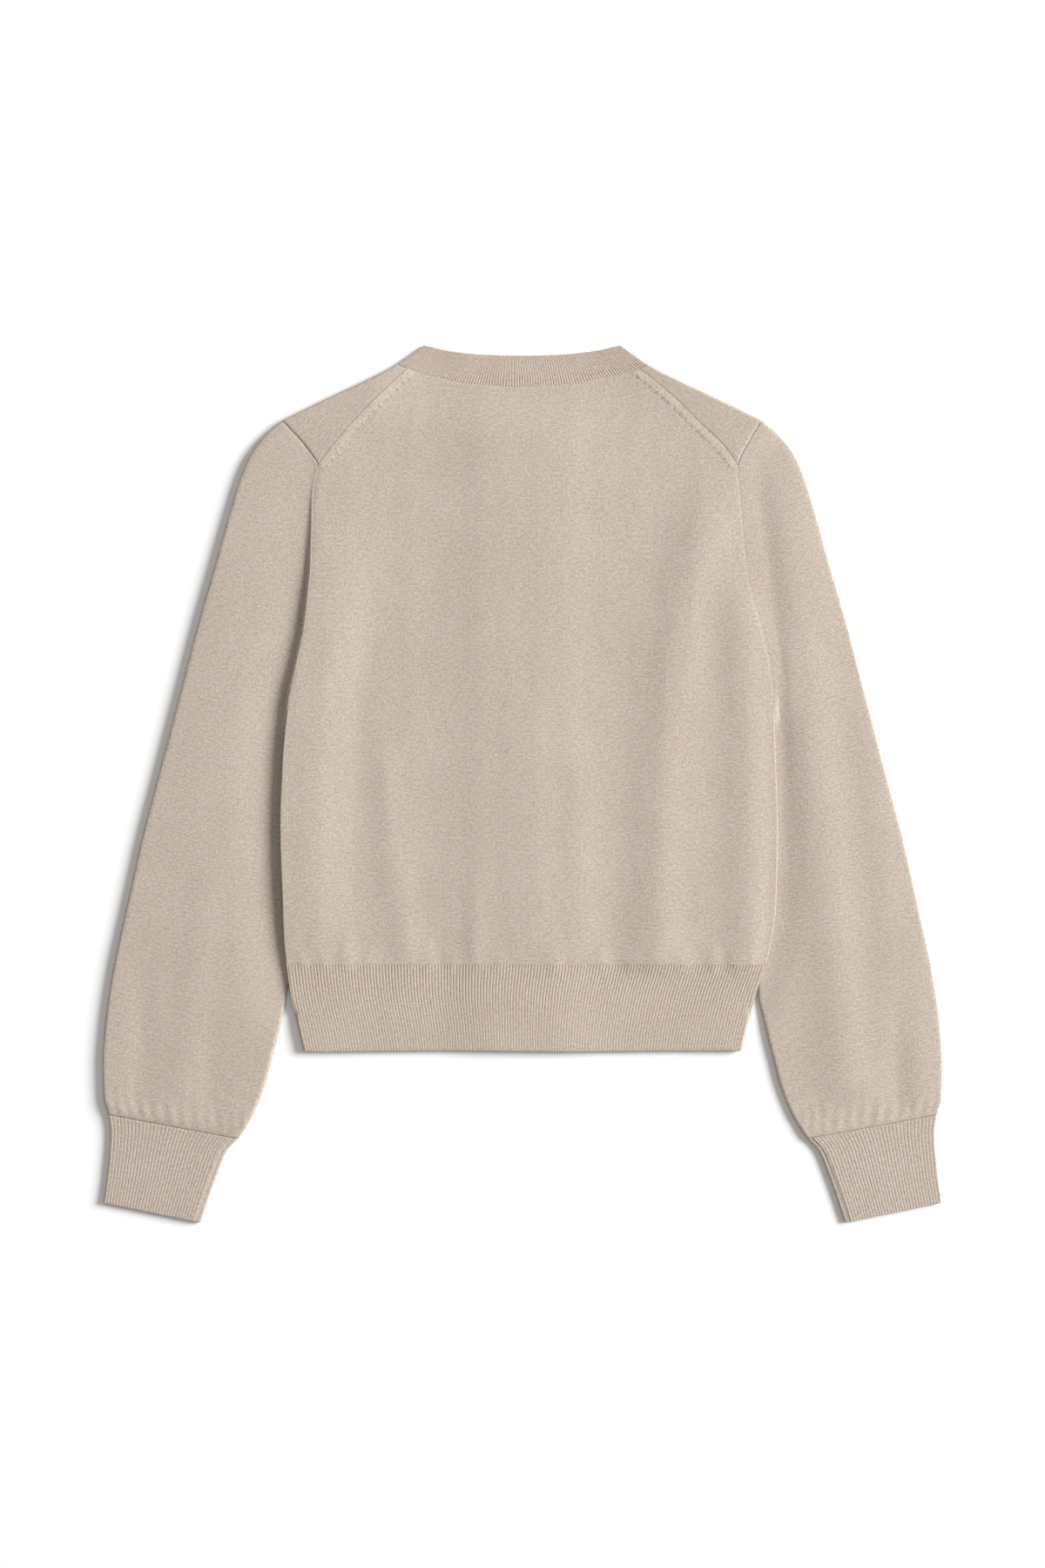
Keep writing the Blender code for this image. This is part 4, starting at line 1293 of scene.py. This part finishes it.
def make_buttons(shade, thread_shade):
    """The buttons under the lower band, each with its thread and its buttonhole's stitching."""
    mesh = make_button_mesh(shade)
    turn = np.linspace(0, 2 * math.pi, 60)
    for number, y in enumerate(np.linspace(BUTTON_FIRST_Y, BUTTON_LAST_Y, BUTTON_COUNT), 1):
        button = new_object(f"horn_button_{number}", mesh)
        button.location = (0.0, float(y) * MM, 0.0)
        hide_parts(f"button_{number}")
        place_on_body(button)
        for k, line in enumerate(thread_bars(y), 1):
            name = f"button_thread_{number}_{k}"
            cord(name, line, THREAD_RADIUS, 0.5, thread_shade)
        slit = np.column_stack([
            BUTTONHOLE_WIDE * np.sin(turn), y + (BUTTON_RADIUS + BUTTONHOLE_OVER) * np.cos(turn),
            np.full(len(turn), LOW_BAND_MID - WALL / 2 + 0.25)])
        cord(f"buttonhole_edge_{number}", slit, 0.42, 0.9, thread_shade)


def make_seam_chains(shade):
    """Chains of linked stitches in the seams of the back, the neck and the armholes."""
    chains = [("neck_chain", back_neck(SEWN)[4:-4], 0.05, 0.55)]
    for side in (-1, 1):
        chains.append(("yoke_chain_" + side_name(side), yoke_seam(side)[3:-3], -0.12, 0.5))
        armhole = body_side(side, *CHAIN_Y) + np.array([side, 0.6]) * ARMHOLE_GAP / 2
        chains.append(("armhole_chain_" + side_name(side), armhole, -0.15, 0.5))
    for name, plan, lift, radius in chains:
        line = with_height(plan[None], upper_mid)[0] + (0.0, 0.0, lift)
        cord(name, line, radius, WALE, shade)


def place_on_body(piece):
    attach(piece, "root")


def declare(piece, kind, side=None):
    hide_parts(kind if side is None else kind + "_" + side_name(side))
    place_on_body(piece)


def make_floor():
    bpy.ops.mesh.primitive_plane_add(size=FLOOR_SIZE, location=(0.0, 0.0, FLOOR_Z))
    floor = bpy.context.object
    floor.name = "floor"
    floor.data.materials.append(floor_material())
    floor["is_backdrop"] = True


def add_light(name, place, size, watts, colour):
    light = bpy.data.lights.new(name, "AREA")
    light.shape = "DISK"
    light.size = size
    light.energy = watts
    light.color = colour
    lamp = new_object(name, light)
    lamp.location = place
    lamp.rotation_euler = (-Vector(place)).to_track_quat("-Z", "Y").to_euler()


def make_lights():
    """A broad key light low on the right, a soft top light and an even surround."""
    level = KEY_REACH * math.cos(KEY_RISE)
    place = (level * math.cos(KEY_TURN), level * math.sin(KEY_TURN), KEY_REACH * math.sin(KEY_RISE))
    add_light("key", place, KEY_SIZE, KEY_WATTS, KEY_COLOUR)
    add_light("top", TOP_PLACE, TOP_SIZE, TOP_WATTS, TOP_COLOUR)
    world = bpy.data.worlds.new("surround")
    world.use_nodes = True
    background = world.node_tree.nodes["Background"]
    background.inputs["Color"].default_value = SURROUND
    background.inputs["Strength"].default_value = SURROUND_STRENGTH
    bpy.context.scene.world = world
    bpy.context.scene.view_settings.view_transform = "Standard"


def make_camera():
    """Straight down, so that the picture's height is 1.2 m on the cloth."""
    camera = bpy.data.cameras.new("camera")
    camera.sensor_fit = "VERTICAL"
    camera.sensor_height = SENSOR
    camera.lens = LENS
    holder = new_object("camera", camera)
    holder.location = CAMERA_PLACE
    bpy.context.scene.camera = holder


def main():
    body = knit_material("body_heather", BODY_YARNS, WALE, 0.30, 1.5, 0.28)
    back = knit_material("back_heather", BODY_YARNS, WALE, 0.30, 1.5, 0.28, marked=True)
    rib = knit_material("hem_heather", HEM_YARNS, RIB, 0.15, 1.3, groove_shade=0.92)
    cuff = knit_material("cuff_heather", CUFF_YARNS, RIB, 0.13, 1.4, groove_shade=0.93)
    neck = knit_material("neck_heather", NECK_YARNS, NECK_RIB, 0.26, 1.2)
    declare(make_back(back), "back")
    declare(make_neckband(neck), "neckband")
    declare(make_hem("hem_rib_back", None, upper_mid, rib, HEM_STEP), "hem_back")
    for side in (-1, 1):
        declare(make_front(side, body), "front", side)
        name = "hem_rib_front_" + side_name(side)
        declare(make_hem(name, side, lower_mid, rib, FRONT_HEM_STEP), "hem_front", side)
        declare(make_sleeve(side, body), "sleeve", side)
        declare(make_cuff(side, cuff), "cuff", side)
    for side, mid in ((1, LOW_BAND_MID), (-1, HIGH_BAND_MID)):
        declare(make_band("band_rib_" + side_name(side), mid, rib), "button_band", side)
    make_seam_chains(body)
    make_buttons(button_material(), rib)
    make_floor()
    make_lights()
    make_camera()
    sizes = {"cad": CAD_BOUNDS, "visual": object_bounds()}
    sizes = {name: [list(corner) for corner in bounds] for name, bounds in sizes.items()}


main()
